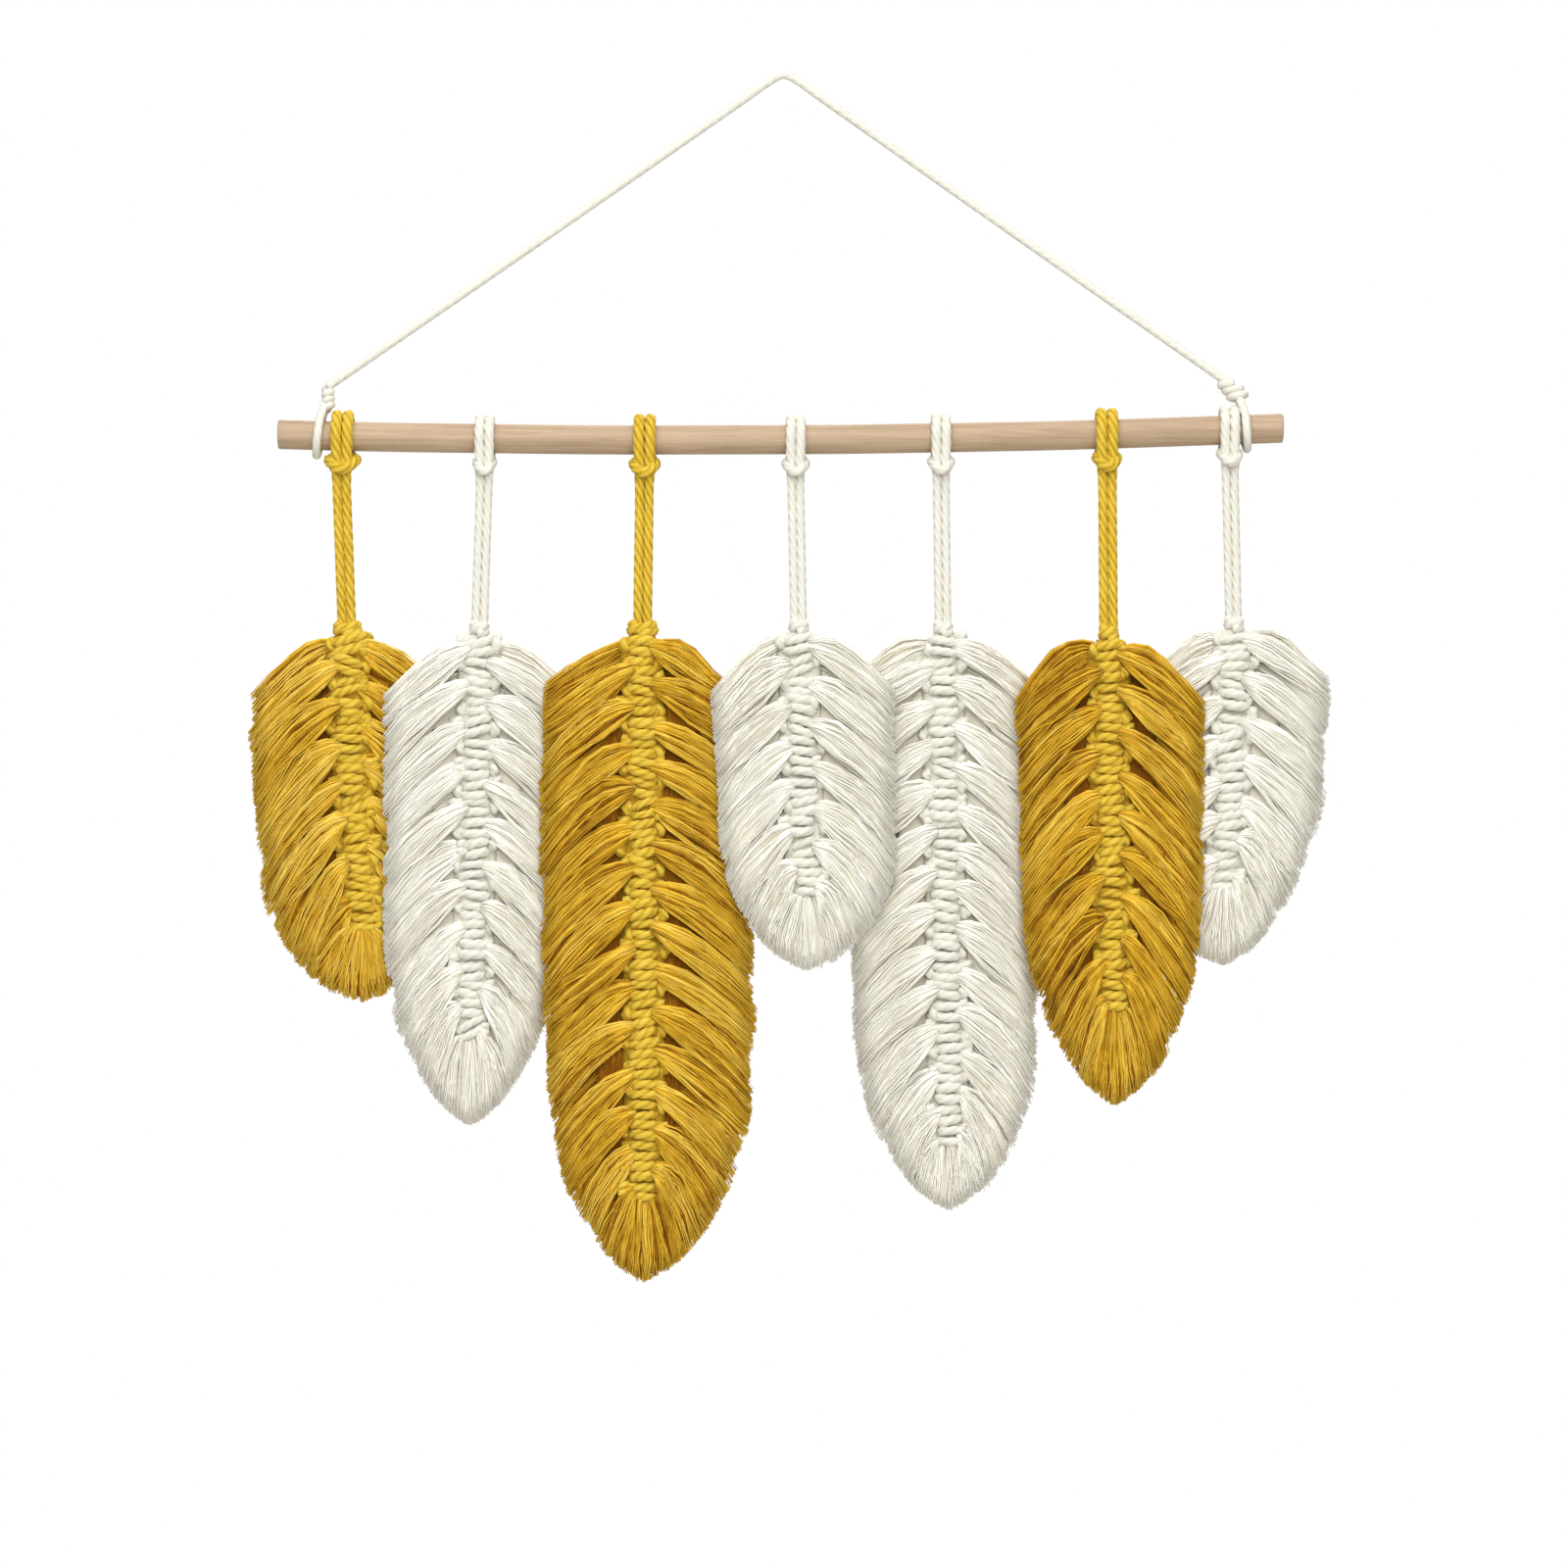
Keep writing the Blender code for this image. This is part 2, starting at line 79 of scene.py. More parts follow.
def unit(vectors: Array) -> Array:
    """Vectors divided by their own lengths."""
    return vectors / np.linalg.norm(vectors, axis=-1, keepdims=True)


def places(x: Array | float, y: Array | float, z: Array | float) -> Array:
    """Places with a last axis of 3, from coordinates that fit each other."""
    return np.stack(np.broadcast_arrays(x, y, z), axis=-1)


def round_angles(count: int) -> Array:
    """Angles of a number of points that lie evenly round a circle."""
    return 2 * math.pi * np.arange(count) / count


def smooth_path(knots: Array, stations: int) -> Array:
    """Points at an even spacing on a Catmull-Rom curve through the knots.

    Between two knots b and c, with a before and d after them, the curve is half of
    2b + (c - a)t + (2a - 5b + 4c - d)t^2 + (3b - a - 3c + d)t^3.

    Args:
        knots: places shaped (knots, 3).
        stations: number of points wanted.

    Returns:
        Places shaped (stations, 3).
    """
    before, after = 2 * knots[0] - knots[1], 2 * knots[-1] - knots[-2]
    padded = np.concatenate([[before], knots, [after]])
    travel = np.linspace(0, len(knots) - 1, DENSITY * len(knots))
    span = np.minimum(travel.astype(int), len(knots) - 2)
    t = (travel - span)[:, None]
    a, b, c, d = (padded[span + step] for step in range(4))
    line = 2 * b + (c - a) * t
    bend = (2 * a - 5 * b + 4 * c - d) * t ** 2 + (3 * b - a - 3 * c + d) * t ** 3
    dense = 0.5 * (line + bend)
    lengths = np.linalg.norm(np.diff(dense, axis=0), axis=1)
    travelled = np.concatenate([[0.0], np.cumsum(lengths)])
    stops = np.linspace(0, travelled[-1], stations)
    return np.stack([np.interp(stops, travelled, dense[:, axis]) for axis in range(3)], axis=1)


def path_length(path: Array) -> float:
    """Length along a path of points."""
    return float(np.linalg.norm(np.diff(path, axis=0), axis=1).sum())


def carried_frames(paths: Array) -> tuple[Array, Array]:
    """Two directions across each path that ride along it without turning about it.

    Each frame is the last one reflected twice: across the plane halfway to the next point,
    and across the plane halfway between the reflected and the real direction there. The
    loop takes one step along all the paths at once.

    Args:
        paths: places shaped (tubes, stations, 3).

    Returns:
        Normals and binormals, each shaped as the paths.
    """
    tangents = unit(np.gradient(paths, axis=1))
    least = np.abs(tangents[:, 0]).argmin(axis=1)
    normals = np.empty_like(paths)
    normals[:, 0] = unit(np.cross(tangents[:, 0], np.eye(3)[least]))
    for station in range(paths.shape[1] - 1):
        step = paths[:, station + 1] - paths[:, station]
        grow = 2 / (step * step).sum(1, keepdims=True)
        normal = normals[:, station]
        tangent = tangents[:, station]
        normal = normal - grow * (step * normal).sum(1, keepdims=True) * step
        tangent = tangent - grow * (step * tangent).sum(1, keepdims=True) * step
        turn = tangents[:, station + 1] - tangent
        grow = 2 / (turn * turn).sum(1, keepdims=True)
        normals[:, station + 1] = normal - grow * (turn * normal).sum(1, keepdims=True) * turn
    return normals, np.cross(tangents, normals)


def add_object(name: str, data: bpy.types.ID) -> bpy.types.Object:
    """Put data into the scene as an object.

    Args:
        name: name of the object.
        data: its mesh, camera or light.

    Returns:
        The object, at the origin.
    """
    made = bpy.data.objects.new(name, data)
    bpy.context.scene.collection.objects.link(made)
    return made


class Skin:
    """Closed tubes gathered as whole arrays, and made into one mesh.

    A tube is a row of rings of points. Rings that follow each other are joined by quads,
    and the first and last ring are each closed by one flat face.
    """

    def __init__(self) -> None:
        """Start with no tubes."""
        self.places: list[Array] = []
        self.tones: list[Array] = []
        self.yarns: list[Array] = []
        self.corners: list[Array] = []
        self.sizes: list[Array] = []
        self.count = 0

    def add_tubes(self, rings: Array, tone: Array | float, yarn: Array) -> None:
        """Add a block of tubes of one make.

        Args:
            rings: places in mm, shaped (tubes, stations, columns, 3), with the columns
                anticlockwise for a viewer that the tube runs towards.
            tone: how light the cotton is, 0 to 1, painted shade and light included, that
                fits (tubes, stations, columns).
            yarn: place on the cord before it was bent, in mm, that fits the rings.
        """
        tubes, stations, columns = rings.shape[:3]
        index = np.arange(tubes * stations * columns).reshape(tubes, stations, columns)
        index += self.count
        beside = np.roll(index, -1, axis=2)
        quads = np.stack(
            [index[:, :-1], beside[:, :-1], beside[:, 1:], index[:, 1:]], axis=-1
        )
        first, last = index[:, 0, ::-1], index[:, -1]
        self.corners += [quads.ravel(), first.ravel(), last.ravel()]
        self.sizes += [np.full(quads.size // 4, 4), np.full(2 * tubes, columns)]
        self.places.append(rings.reshape(-1, 3))
        self.tones.append(np.broadcast_to(tone, rings.shape[:3]).ravel())
        self.yarns.append(np.broadcast_to(yarn, rings.shape).reshape(-1, 3))
        self.count += tubes * stations * columns

    def make(self, name: str, finish: bpy.types.Material) -> bpy.types.Object:
        """Put everything gathered into one mesh object.

        Args:
            name: name of the object.
            finish: its material.

        Returns:
            The object, at the origin, with its place in its mesh.
        """
        corners = np.concatenate(self.corners).astype(np.int32)
        sizes = np.concatenate(self.sizes)
        starts = (np.cumsum(sizes) - sizes).astype(np.int32)
        mesh = bpy.data.meshes.new(name)
        mesh.vertices.add(self.count)
        mesh.loops.add(len(corners))
        mesh.polygons.add(len(sizes))
        spots = np.concatenate(self.places) * MM
        mesh.vertices.foreach_set("co", spots.astype(np.float32).ravel())
        mesh.loops.foreach_set("vertex_index", corners)
        mesh.polygons.foreach_set("loop_start", starts)
        tone = mesh.attributes.new("tone", "FLOAT", "POINT")
        tone.data.foreach_set("value", np.concatenate(self.tones).astype(np.float32))
        yarn = mesh.attributes.new("yarn", "FLOAT_VECTOR", "POINT")
        yarn.data.foreach_set("vector", np.concatenate(self.yarns).astype(np.float32).ravel())
        mesh.update(calc_edges=True)
        mesh.shade_smooth()
        mesh.materials.append(finish)
        return add_object(name, mesh)


@dataclass(frozen=True)
class Cord:
    """Cotton cord spun loosely from a few plies, which are laid to the left."""

    radius: float
    lay: float = 23.0           # length of cord over which a ply goes once round
    plies: int = 4
    valley: float = 0.24        # depth of the groove between two plies, as a share
    shade: float = 0.6          # painted shade: how much darker the cotton is in the groove
    light: float = 0.75         # painted light: tone of the crests
    columns: int = 16
    steps: int = 12             # rings for each turn of the plies
    least_steps: int = 4

    def stations(self, length: float) -> int:
        """Number of rings that a length of this cord takes."""
        return max(int(length / self.lay * self.steps), self.least_steps) + 1

    def route(self, knots: Array, samples: int) -> Array:
        """Centre line of this cord through knots, with a point for each of its rings.

        Args:
            knots: places in mm, shaped (knots, 3).
            samples: number of points that its length is measured over.

        Returns:
            Places in mm, shaped (stations, 3).
        """
        return smooth_path(knots, self.stations(path_length(smooth_path(knots, samples))))

    def wind(self, skin: Skin, paths: Array, phase: Array, squeeze: Array | float = 1.0) -> None:
        """Add cords along paths.

        The section is a circle that dips between plies, by the valley's depth times the
        square of (1 + cos(plies x angle)) / 2. It turns back once for each lay of length,
        and its points turn with it, so that they run along the crests and grooves. Its tone
        is painted shade in the grooves and painted light on the crests.

        Args:
            skin: what the cords are added to.
            paths: centre lines in mm, shaped (cords, stations, 3).
            phase: angle of the first ply of each cord, shaped (cords,).
            squeeze: share of the radius, that fits (cords, stations).
        """
        normals, binormals = carried_frames(paths)
        steps = np.linalg.norm(np.diff(paths, axis=1), axis=2)
        travel = np.pad(np.cumsum(steps, axis=1), ((0, 0), (1, 0)))
        around = round_angles(self.columns)
        groove = (0.5 + 0.5 * np.cos(self.plies * around)) ** 2
        turn = phase[:, None] - 2 * math.pi * travel / self.lay
        angle = turn[:, :, None] + around
        size = self.radius * (1 - self.valley * groove) * np.ones_like(angle)
        size = size * np.broadcast_to(squeeze, travel.shape)[:, :, None]
        across, up = size * np.cos(angle), size * np.sin(angle)
        rings = paths[:, :, None] + across[..., None] * normals[:, :, None]
        rings += up[..., None] * binormals[:, :, None]
        yarn = places(across, up, travel[:, :, None])
        # painted shade in the grooves, painted light on the crests
        skin.add_tubes(rings, self.light - self.shade * groove, yarn)


# ---------------------------------------------------------------------------------------
# Finishes
# ---------------------------------------------------------------------------------------

def linear(code: str) -> tuple[float, float, float, float]:
    """Linear colour of an sRGB hex code such as "#C8A070".

    By the sRGB standard a value up to 0.04045 is divided by 12.92. A higher one has 0.055
    added to it, is divided by 1.055, and is raised to the 2.4.

    Args:
        code: a hash sign and six hex digits.

    Returns:
        Red, green, blue and an alpha of 1.
    """
    values = [int(code[start:start + 2], 16) / 255 for start in (1, 3, 5)]
    straight = [v / 12.92 if v <= 0.04045 else ((v + 0.055) / 1.055) ** 2.4 for v in values]
    return (*straight, 1.0)


def add_node(
    tree: bpy.types.NodeTree, kind: str, inputs: dict[Any, Any] | None = None, **settings: Any
) -> bpy.types.Node:
    """Add one node with its settings and links.

    Args:
        tree: node tree that it goes into.
        kind: type of the node, without its leading ShaderNode.
        inputs: a value, or the output socket of another node, for each input's name or
            number.
        settings: properties of the node itself.

    Returns:
        The node.
    """
    node = tree.nodes.new("ShaderNode" + kind)
    for name, value in settings.items():
        setattr(node, name, value)
    for name, value in (inputs or {}).items():
        if isinstance(value, bpy.types.NodeSocket):
            tree.links.new(value, node.inputs[name])
        else:
            node.inputs[name].default_value = value
    return node


def set_ramp(node: bpy.types.Node, stops: list[tuple[float, str]]) -> None:
    """Give a colour ramp its stops.

    Args:
        node: the colour ramp.
        stops: two or more, each a position and a hex colour.
    """
    elements = node.color_ramp.elements
    while len(elements) < len(stops):
        elements.new(0.5)
    for element, (position, code) in zip(elements, stops):
        element.position = position
        element.color = linear(code)


def blank_material(name: str) -> tuple[bpy.types.Material, bpy.types.NodeTree]:
    """A new material without any node.

    Args:
        name: its name.

    Returns:
        The material, and its node tree.
    """
    made = bpy.data.materials.new(name)
    made.use_nodes = True
    made.node_tree.nodes.clear()
    return made, made.node_tree


@dataclass(frozen=True)
class Cotton:
    """Cotton as a finish, in three shades from its hollows to its crests.

    The shade at a place is the mesh's tone there, plus a share of the lines along the yarn,
    plus a share of a cloudy mottle over the piece, less the mean of the two. The lines are
    a noise that is drawn out along the yarn, and they raise the surface a little too. The
    hollow colour is painted shade, and the crest colour is partly painted light.
    """

    name: str
    painted_hollow_shade: str                 # painted shade, where little light gets in ...
    body: str                   # ... over most of the cotton ...
    crest: str                  # ... and where it stands out, partly painted light
    line_width: float
    line_run: float
    line_detail: float          # octaves of the lines' noise
    line_share: float
    mottle: float
    mottle_detail: float
    mottle_share: float
    relief: float
    roughness: float
    sheen: float
    sheen_roughness: float
    specular: float = 0.15      # cotton hardly shines

    def material(self) -> bpy.types.Material:
        """Make this cotton's nodes.

        Returns:
            Its Blender material.
        """
        made, tree = blank_material(self.name)
        tone = add_node(tree, "Attribute", attribute_name="tone")
        yarn = add_node(tree, "Attribute", attribute_name="yarn")
        place = add_node(tree, "TexCoord")
        width, run = 1 / self.line_width, 1 / self.line_run
        stretched = add_node(
            tree, "Mapping", {"Vector": yarn.outputs["Vector"], "Scale": (width, width, run)}
        )
        lines = add_node(
            tree, "TexNoise",
            {"Vector": stretched.outputs["Vector"], "Scale": 1.0, "Detail": self.line_detail},
        )
        clouds = add_node(
            tree, "TexNoise",
            {
                "Vector": place.outputs["Object"], "Scale": 1 / (self.mottle * MM),
                "Detail": self.mottle_detail,
            },
        )
        lined = add_node(
            tree, "Math", {0: lines.outputs["Fac"], 1: self.line_share, 2: tone.outputs["Fac"]},
            operation="MULTIPLY_ADD",
        )
        shade = add_node(
            tree, "Math",
            {0: clouds.outputs["Fac"], 1: self.mottle_share, 2: lined.outputs["Value"]},
            operation="MULTIPLY_ADD",
        )
        mean = 0.5 * (self.line_share + self.mottle_share)
        centred = add_node(
            tree, "Math", {0: shade.outputs["Value"], 1: mean}, operation="SUBTRACT"
        )
        ramp = add_node(tree, "ValToRGB", {"Fac": centred.outputs["Value"]})
        set_ramp(ramp, [(0.0, self.painted_hollow_shade), (0.5, self.body), (1.0, self.crest)])
        bump = add_node(
            tree, "Bump",
            {"Height": lines.outputs["Fac"], "Distance": self.relief * MM, "Strength": 1.0},
        )
        shader = add_node(
            tree, "BsdfPrincipled",
            {
                "Base Color": ramp.outputs["Color"], "Roughness": self.roughness,
                "Specular IOR Level": self.specular, "Sheen Weight": self.sheen,
                "Sheen Roughness": self.sheen_roughness, "Sheen Tint": linear(self.crest),
                "Normal": bump.outputs["Normal"],
            },
        )
        add_node(tree, "OutputMaterial", {"Surface": shader.outputs["BSDF"]})
        return made


@dataclass(frozen=True)
class SpunCotton(Cotton):
    """Twisted cotton cord: matt, with the fine lines of its yarns along each ply.

    Undyed or dyed in the yarn; it is darker only in the grooves between the plies, by painted shade.
    """

    line_width: float = 0.8     # mm, one of the yarns in a ply
    line_run: float = 7.0       # mm along the cord before a yarn dips under the next
    line_detail: float = 2.0
    line_share: float = 0.8
    mottle: float = 14.0        # mm, uneven take-up of the dye
    mottle_detail: float = 1.0
    mottle_share: float = 0.3
    relief: float = 0.09        # mm between two yarns
    roughness: float = 0.9
    sheen: float = 0.25         # loose ends of fibre catch light at the rim
    sheen_roughness: float = 0.5


@dataclass(frozen=True)
class CombedCotton(Cotton):
    """Cotton cord undone and combed out: soft fibres that differ a little in shade.

    Wisps of fibres are modelled, and this finish draws finer streaks along them. A streak
    stands for a few fibres that lie together, because a single one is too fine to show.
    """

    line_width: float = 0.55    # mm, one streak
    line_run: float = 7.0       # mm along its fibres before they part
    line_detail: float = 1.0
    line_share: float = 0.6
    mottle: float = 9.0         # mm, cloudy change of shade over the combed locks
    mottle_detail: float = 2.0
    mottle_share: float = 0.5
    relief: float = 0.1         # mm between two streaks
    roughness: float = 0.85
    sheen: float = 0.3          # combed fibres catch more light at the rim than cord does
    sheen_roughness: float = 0.45


@dataclass(frozen=True)
class Beech:
    """Turned and sanded beech, unfinished: pale tan, straight grain, short dark flecks.

    The grain is a noise drawn out along the rod, between two shades of wood. The flecks are
    the peaks of a finer one, laid half over it.
    """

    name: str = "sanded_beech"
    early: str = "#BAA285"
    late: str = "#A1886D"
    fleck: str = "#80604A"
    clear: str = "#000000"      # greys of the mask that lays the flecks over the grain:
    covered: str = "#808080"    # between two flecks, and on one
    grain_width: float = 3.0    # mm between two lines of grain
    grain_run: float = 60.0     # mm before a line wanders
    grain_detail: float = 4.0
    grain_wander: float = 0.8
    grain_span: tuple[float, float] = (0.3, 0.68)   # noise of late and of early wood
    fleck_width: float = 0.35   # mm, a ray seen from its end
    fleck_run: float = 3.5      # mm, its length along the rod
    fleck_span: tuple[float, float] = (0.66, 0.76)  # noise where a fleck begins and is full
    relief: float = 0.06        # mm, grain left raised by sanding
    roughness: float = 0.62
    specular: float = 0.4

    def material(self) -> bpy.types.Material:
        """Make the wood's nodes.

        Returns:
            Its Blender material.
        """
        made, tree = blank_material(self.name)
        place = add_node(tree, "TexCoord").outputs["Object"]
        width, run = 1 / (self.grain_width * MM), 1 / (self.grain_run * MM)
        along = add_node(tree, "Mapping", {"Vector": place, "Scale": (run, width, width)})
        grain = add_node(
            tree, "TexNoise",
            {
                "Vector": along.outputs["Vector"], "Scale": 1.0,
                "Detail": self.grain_detail, "Distortion": self.grain_wander,
            },
        )
        width, run = 1 / (self.fleck_width * MM), 1 / (self.fleck_run * MM)
        short = add_node(tree, "Mapping", {"Vector": place, "Scale": (run, width, width)})
        rays = add_node(
            tree, "TexNoise", {"Vector": short.outputs["Vector"], "Scale": 1.0, "Detail": 0.0}
        )
        ramp = add_node(tree, "ValToRGB", {"Fac": grain.outputs["Fac"]})
        set_ramp(ramp, list(zip(self.grain_span, (self.late, self.early))))
        marks = add_node(tree, "ValToRGB", {"Fac": rays.outputs["Fac"]})
        set_ramp(marks, list(zip(self.fleck_span, (self.clear, self.covered))))
        mixed = add_node(
            tree, "Mix",
            {0: marks.outputs["Color"], 6: ramp.outputs["Color"], 7: linear(self.fleck)},
            data_type="RGBA",
        )
        bump = add_node(
            tree, "Bump",
            {"Height": grain.outputs["Fac"], "Distance": self.relief * MM, "Strength": 1.0},
        )
        shader = add_node(
            tree, "BsdfPrincipled",
            {
                "Base Color": mixed.outputs[2], "Roughness": self.roughness,
                "Specular IOR Level": self.specular, "Normal": bump.outputs["Normal"],
            },
        )
        add_node(tree, "OutputMaterial", {"Surface": shader.outputs["BSDF"]})
        return made


@cache
def dressed(finish: Cotton | Beech) -> bpy.types.Material:
    """The one Blender material of a finish, made when it is first asked for."""
    return finish.material()


# colours: painted shade in the hollows, the body, and partly painted light on the crests
CORD_FINISH = {
    Dye.MUSTARD: SpunCotton("mustard_cotton_cord", "#8A5C08", "#C8A62E", "#E0C452"),
    Dye.CREAM: SpunCotton("cream_cotton_cord", "#CFCCBB", "#D6D4C8", "#E4E2D7"),
}
COMBED_FINISH = {
    Dye.MUSTARD: CombedCotton("mustard_combed_cotton", "#844E06", "#E0B02A", "#F0D05C"),
    Dye.CREAM: CombedCotton("cream_combed_cotton", "#E0DAC7", "#F8F5E8", "#FBF9F0"),
}


# ---------------------------------------------------------------------------------------
# Pieces
# ---------------------------------------------------------------------------------------

# shade: painted shade in the grooves between the plies
KNOT_CORD = Cord(radius=2.8, lay=16.0, plies=3, valley=0.18, shade=0.42, columns=9, steps=7)
LOOP_CORDS = {
    Dye.MUSTARD: Cord(radius=2.6, shade=0.5),
    Dye.CREAM: Cord(radius=2.3, valley=0.18, shade=0.4),
}
HANGING = Cord(radius=2.25, lay=17.0, plies=3, valley=0.1, shade=0.16, columns=12)


def settle(piece: bpy.types.Object, nodes: list[str]) -> None:
    """Let a piece ride on the hanging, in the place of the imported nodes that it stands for.

    Args:
        piece: the finished piece.
        nodes: names of the nodes that it replaces.
    """
    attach(piece, BODY)
    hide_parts(*nodes)


def report(piece: bpy.types.Object) -> None:
    """Say in the log that a piece is made, and how many triangles it has.

    Args:
        piece: the finished piece.
    """
    mesh = piece.data
    mesh.calc_loop_triangles()
    LOG.info("%s: %d triangles", piece.name, len(mesh.loop_triangles))


@dataclass
class Rod:
    """The stick: 15 mm beech, a little bowed, with eased ends. Lengths are in mm."""

    radius: float = 7.5
    left: tuple[float, float] = (-258.0, -181.2)
    right: tuple[float, float] = (254.5, -177.8)
    bow: float = 4.3
    eased: float = 1.0
    ease_steps: int = 5
    end_ring: float = 0.85      # how far in an end's last ring lies, as a share of the radius
    stations: int = 90
    columns: int = 32
    uneven: float = 0.12        # how far sanding left it from round ...
    waves: int = 3              # ... in this many waves round it ...
    phase_run: float = 47.0     # ... whose phase goes on by a radian in this length ...
    swell_run: float = 31.0     # ... and whose height is a sine, a radian in this one
    tone: float = 0.5

    def height(self, x: Array | float) -> Array | float:
        """Height of the centre line: the chord, less a parabola of the bow's depth.

        Args:
            x: places along the rod.

        Returns:
            Heights in mm, shaped as the places.
        """
        share = (x - self.left[0]) / (self.right[0] - self.left[0])
        chord = self.left[1] + (self.right[1] - self.left[1]) * share
        return chord - self.bow * (1 - (2 * share - 1) ** 2)

    def build(self) -> bpy.types.Object:
        """The rod as rings along its bow, rounded at the ends by quarter circles.

        Returns:
            The piece, in the place of the rod's node.
        """
        corner = np.linspace(0, math.pi / 2, self.ease_steps)
        ease_x, ease_r = self.eased * (1 - np.sin(corner)), self.eased * (1 - np.cos(corner))
        straight = np.linspace(
            self.left[0] + self.eased, self.right[0] - self.eased, self.stations
        )[1:-1]
        x = np.concatenate([self.left[0] + ease_x[::-1], straight, self.right[0] - ease_x])
        cut = np.concatenate([ease_r[::-1], np.zeros_like(straight), ease_r])
        x = np.concatenate([x[:1], x, x[-1:]])[:, None]
        inner = [self.end_ring * self.radius]
        cut = np.concatenate([inner, cut, inner])[:, None]
        around = round_angles(self.columns)
        wave = self.uneven * np.sin(self.waves * around + x / self.phase_run)
        wave = wave * np.sin(x / self.swell_run)
        size = self.radius - cut + wave * (cut < self.eased)
        rings = places(x, size * np.cos(around), self.height(x) + size * np.sin(around))
        skin = Skin()
        skin.add_tubes(rings[None], self.tone, rings[None])
        piece = skin.make("rod_beech", dressed(Beech()))
        settle(piece, ["rod"])
        return piece


@dataclass
class HangingCord:
    """The cord that the rod hangs by: one taut bend between the two ties."""

    route: tuple[tuple[float, float], ...] = (
        (-232.9, -156.9), (-200, -134.3), (-160, -106.8), (-120, -79.2), (-80, -51.5),
        (-45, -27.2), (-20, -9.8), (-8, -1.3), (0, 2.25), (8, -1.4), (20, -10), (45, -27.6),
        (80, -52.3), (120, -80.4), (160, -108.4), (200, -136.3), (226.8, -155.0),
    )
    cord: Cord = HANGING
    samples: int = 400          # points that its length is measured over
    declared_every: int = 6     # rings between two points of a sparser path

    def build(self) -> bpy.types.Object:
        """The cord wound along its route, at its real length.

        Returns:
            The piece, in the place of the cord's node.
        """
        knots = np.array([(x, 0.0, z) for x, z in self.route])
        length = path_length(smooth_path(knots, self.samples))
        path = smooth_path(knots, self.cord.stations(length))
        skin = Skin()
        self.cord.wind(skin, path[None], np.zeros(1))
        piece = skin.make("hanging_cord_twist", dressed(CORD_FINISH[Dye.CREAM]))
        settle(piece, ["hanging_cord"])
        return piece


@dataclass(frozen=True)
class Chance:
    """Values that differ by hand: a normal spread about a middle, held within limits."""

    middle: float
    spread: float
    least: float = -math.inf
    most: float = math.inf

    def draw(self, random: np.random.Generator, shape: int | tuple[int, ...]) -> Array:
        """Values of a shape, drawn from a source."""
        return np.clip(random.normal(self.middle, self.spread, shape), self.least, self.most)


@dataclass
class Locks:
    """Sizes of a feather's combed locks. Each field is an array, with a value for each."""

    side: Array                 # 1 right of the spine, -1 left of it
    face: Array                 # -1 where the neck is in front of the spine, 1 behind it
    start: Array                # depth of the neck
    drop: Array                 # mm that it falls further than the others
    fan: Array                  # share of the common width that it is combed to
    lift: Array                 # mm that its upper fibres arch up
    bulge: Array                # share of the common rise over the wing
    length: Array               # share of the way to the feather's outline
    sway: Array                 # mm that its middle hangs below its own arc
    bunch: Array                # 0 for evenly spread strands, 1 for strands in bunches
    phase: Array                # angle of the first bunch

    def spread(self, axes: int) -> "Locks":
        """The same locks with more axes, which fit arrays of strands and stations."""
        shape = (-1, *[1] * axes)
        return Locks(*(getattr(self, entry.name).reshape(shape) for entry in fields(self)))


@dataclass(frozen=True)
class Unevenness:
    """How far the sizes of locks differ, in the units of Locks."""

    length: Chance = Chance(-0.005, 0.022, -0.035, 0.03)    # past its whole length
    lift: Chance = Chance(1.6, 0.8)
    start: Chance = Chance(0.0, 0.9, -1.2, 1.2)     # off its even place
    drop: Chance = Chance(0.0, 2.0, -2.4, 2.4)
    fan: Chance = Chance(1.0, 0.2)
    bulge: Chance = Chance(1.0, 0.17)
    sway: Chance = Chance(0.0, 1.2)
    bunch: Chance = Chance(0.45, 0.2, 0.1, 0.95)    # its middle is each feather's own


@dataclass(frozen=True)
class Combing:
    """Form of a combed lock, in mm, from its neck at 0 to its cut end at 1."""

    root: float = 3.8           # from the spine's middle to the neck's inner end
    wedge: float = 2.2          # how much further out the neck's two edges start
    back_root: float = 7.4      # from the spine's middle to a neck behind the spine
    neck: float = 3.0           # half the height of a neck in front ...
    back_neck: float = 4.6      # ... and behind
    narrow: float = 1.4         # power by which that height goes on the way out
    fan: float = 8.0            # how much less the topmost fibre falls than the middle one
    turn: float = 1.2           # power of the fall: the middle fibres fall late
    turn_upper: float = 0.4     # the upper ones later still, the lower ones at once
    reach: float = 1.25         # power of the way out: fibres hang steeper at their ends
    arch_foot: float = 0.6      # share of half the lock, below its middle, where the arch is nothing
    arch_rate: float = 1.6      # the arch takes one over this of the way
    bunches: float = 1.3        # bunches in half the lock's height
    draw: float = 1.5           # power by which strands draw into them on the way
    plump: float = 0.4          # how much thicker a bunch is than the lock
    stops: tuple[float, ...] = (0.0, 0.1, 0.25, 0.45, 0.7, 1.0)
    front_rise: tuple[float, ...] = (4.6, 7.2, 5.2, 2.9, 1.4, 0.4)
    back_rise: tuple[float, ...] = (3.0, 3.4, 3.0, 2.2, 1.2, 0.3)
    thick: tuple[float, ...] = (2.0, 2.6, 2.6, 2.1, 1.5, 1.0)


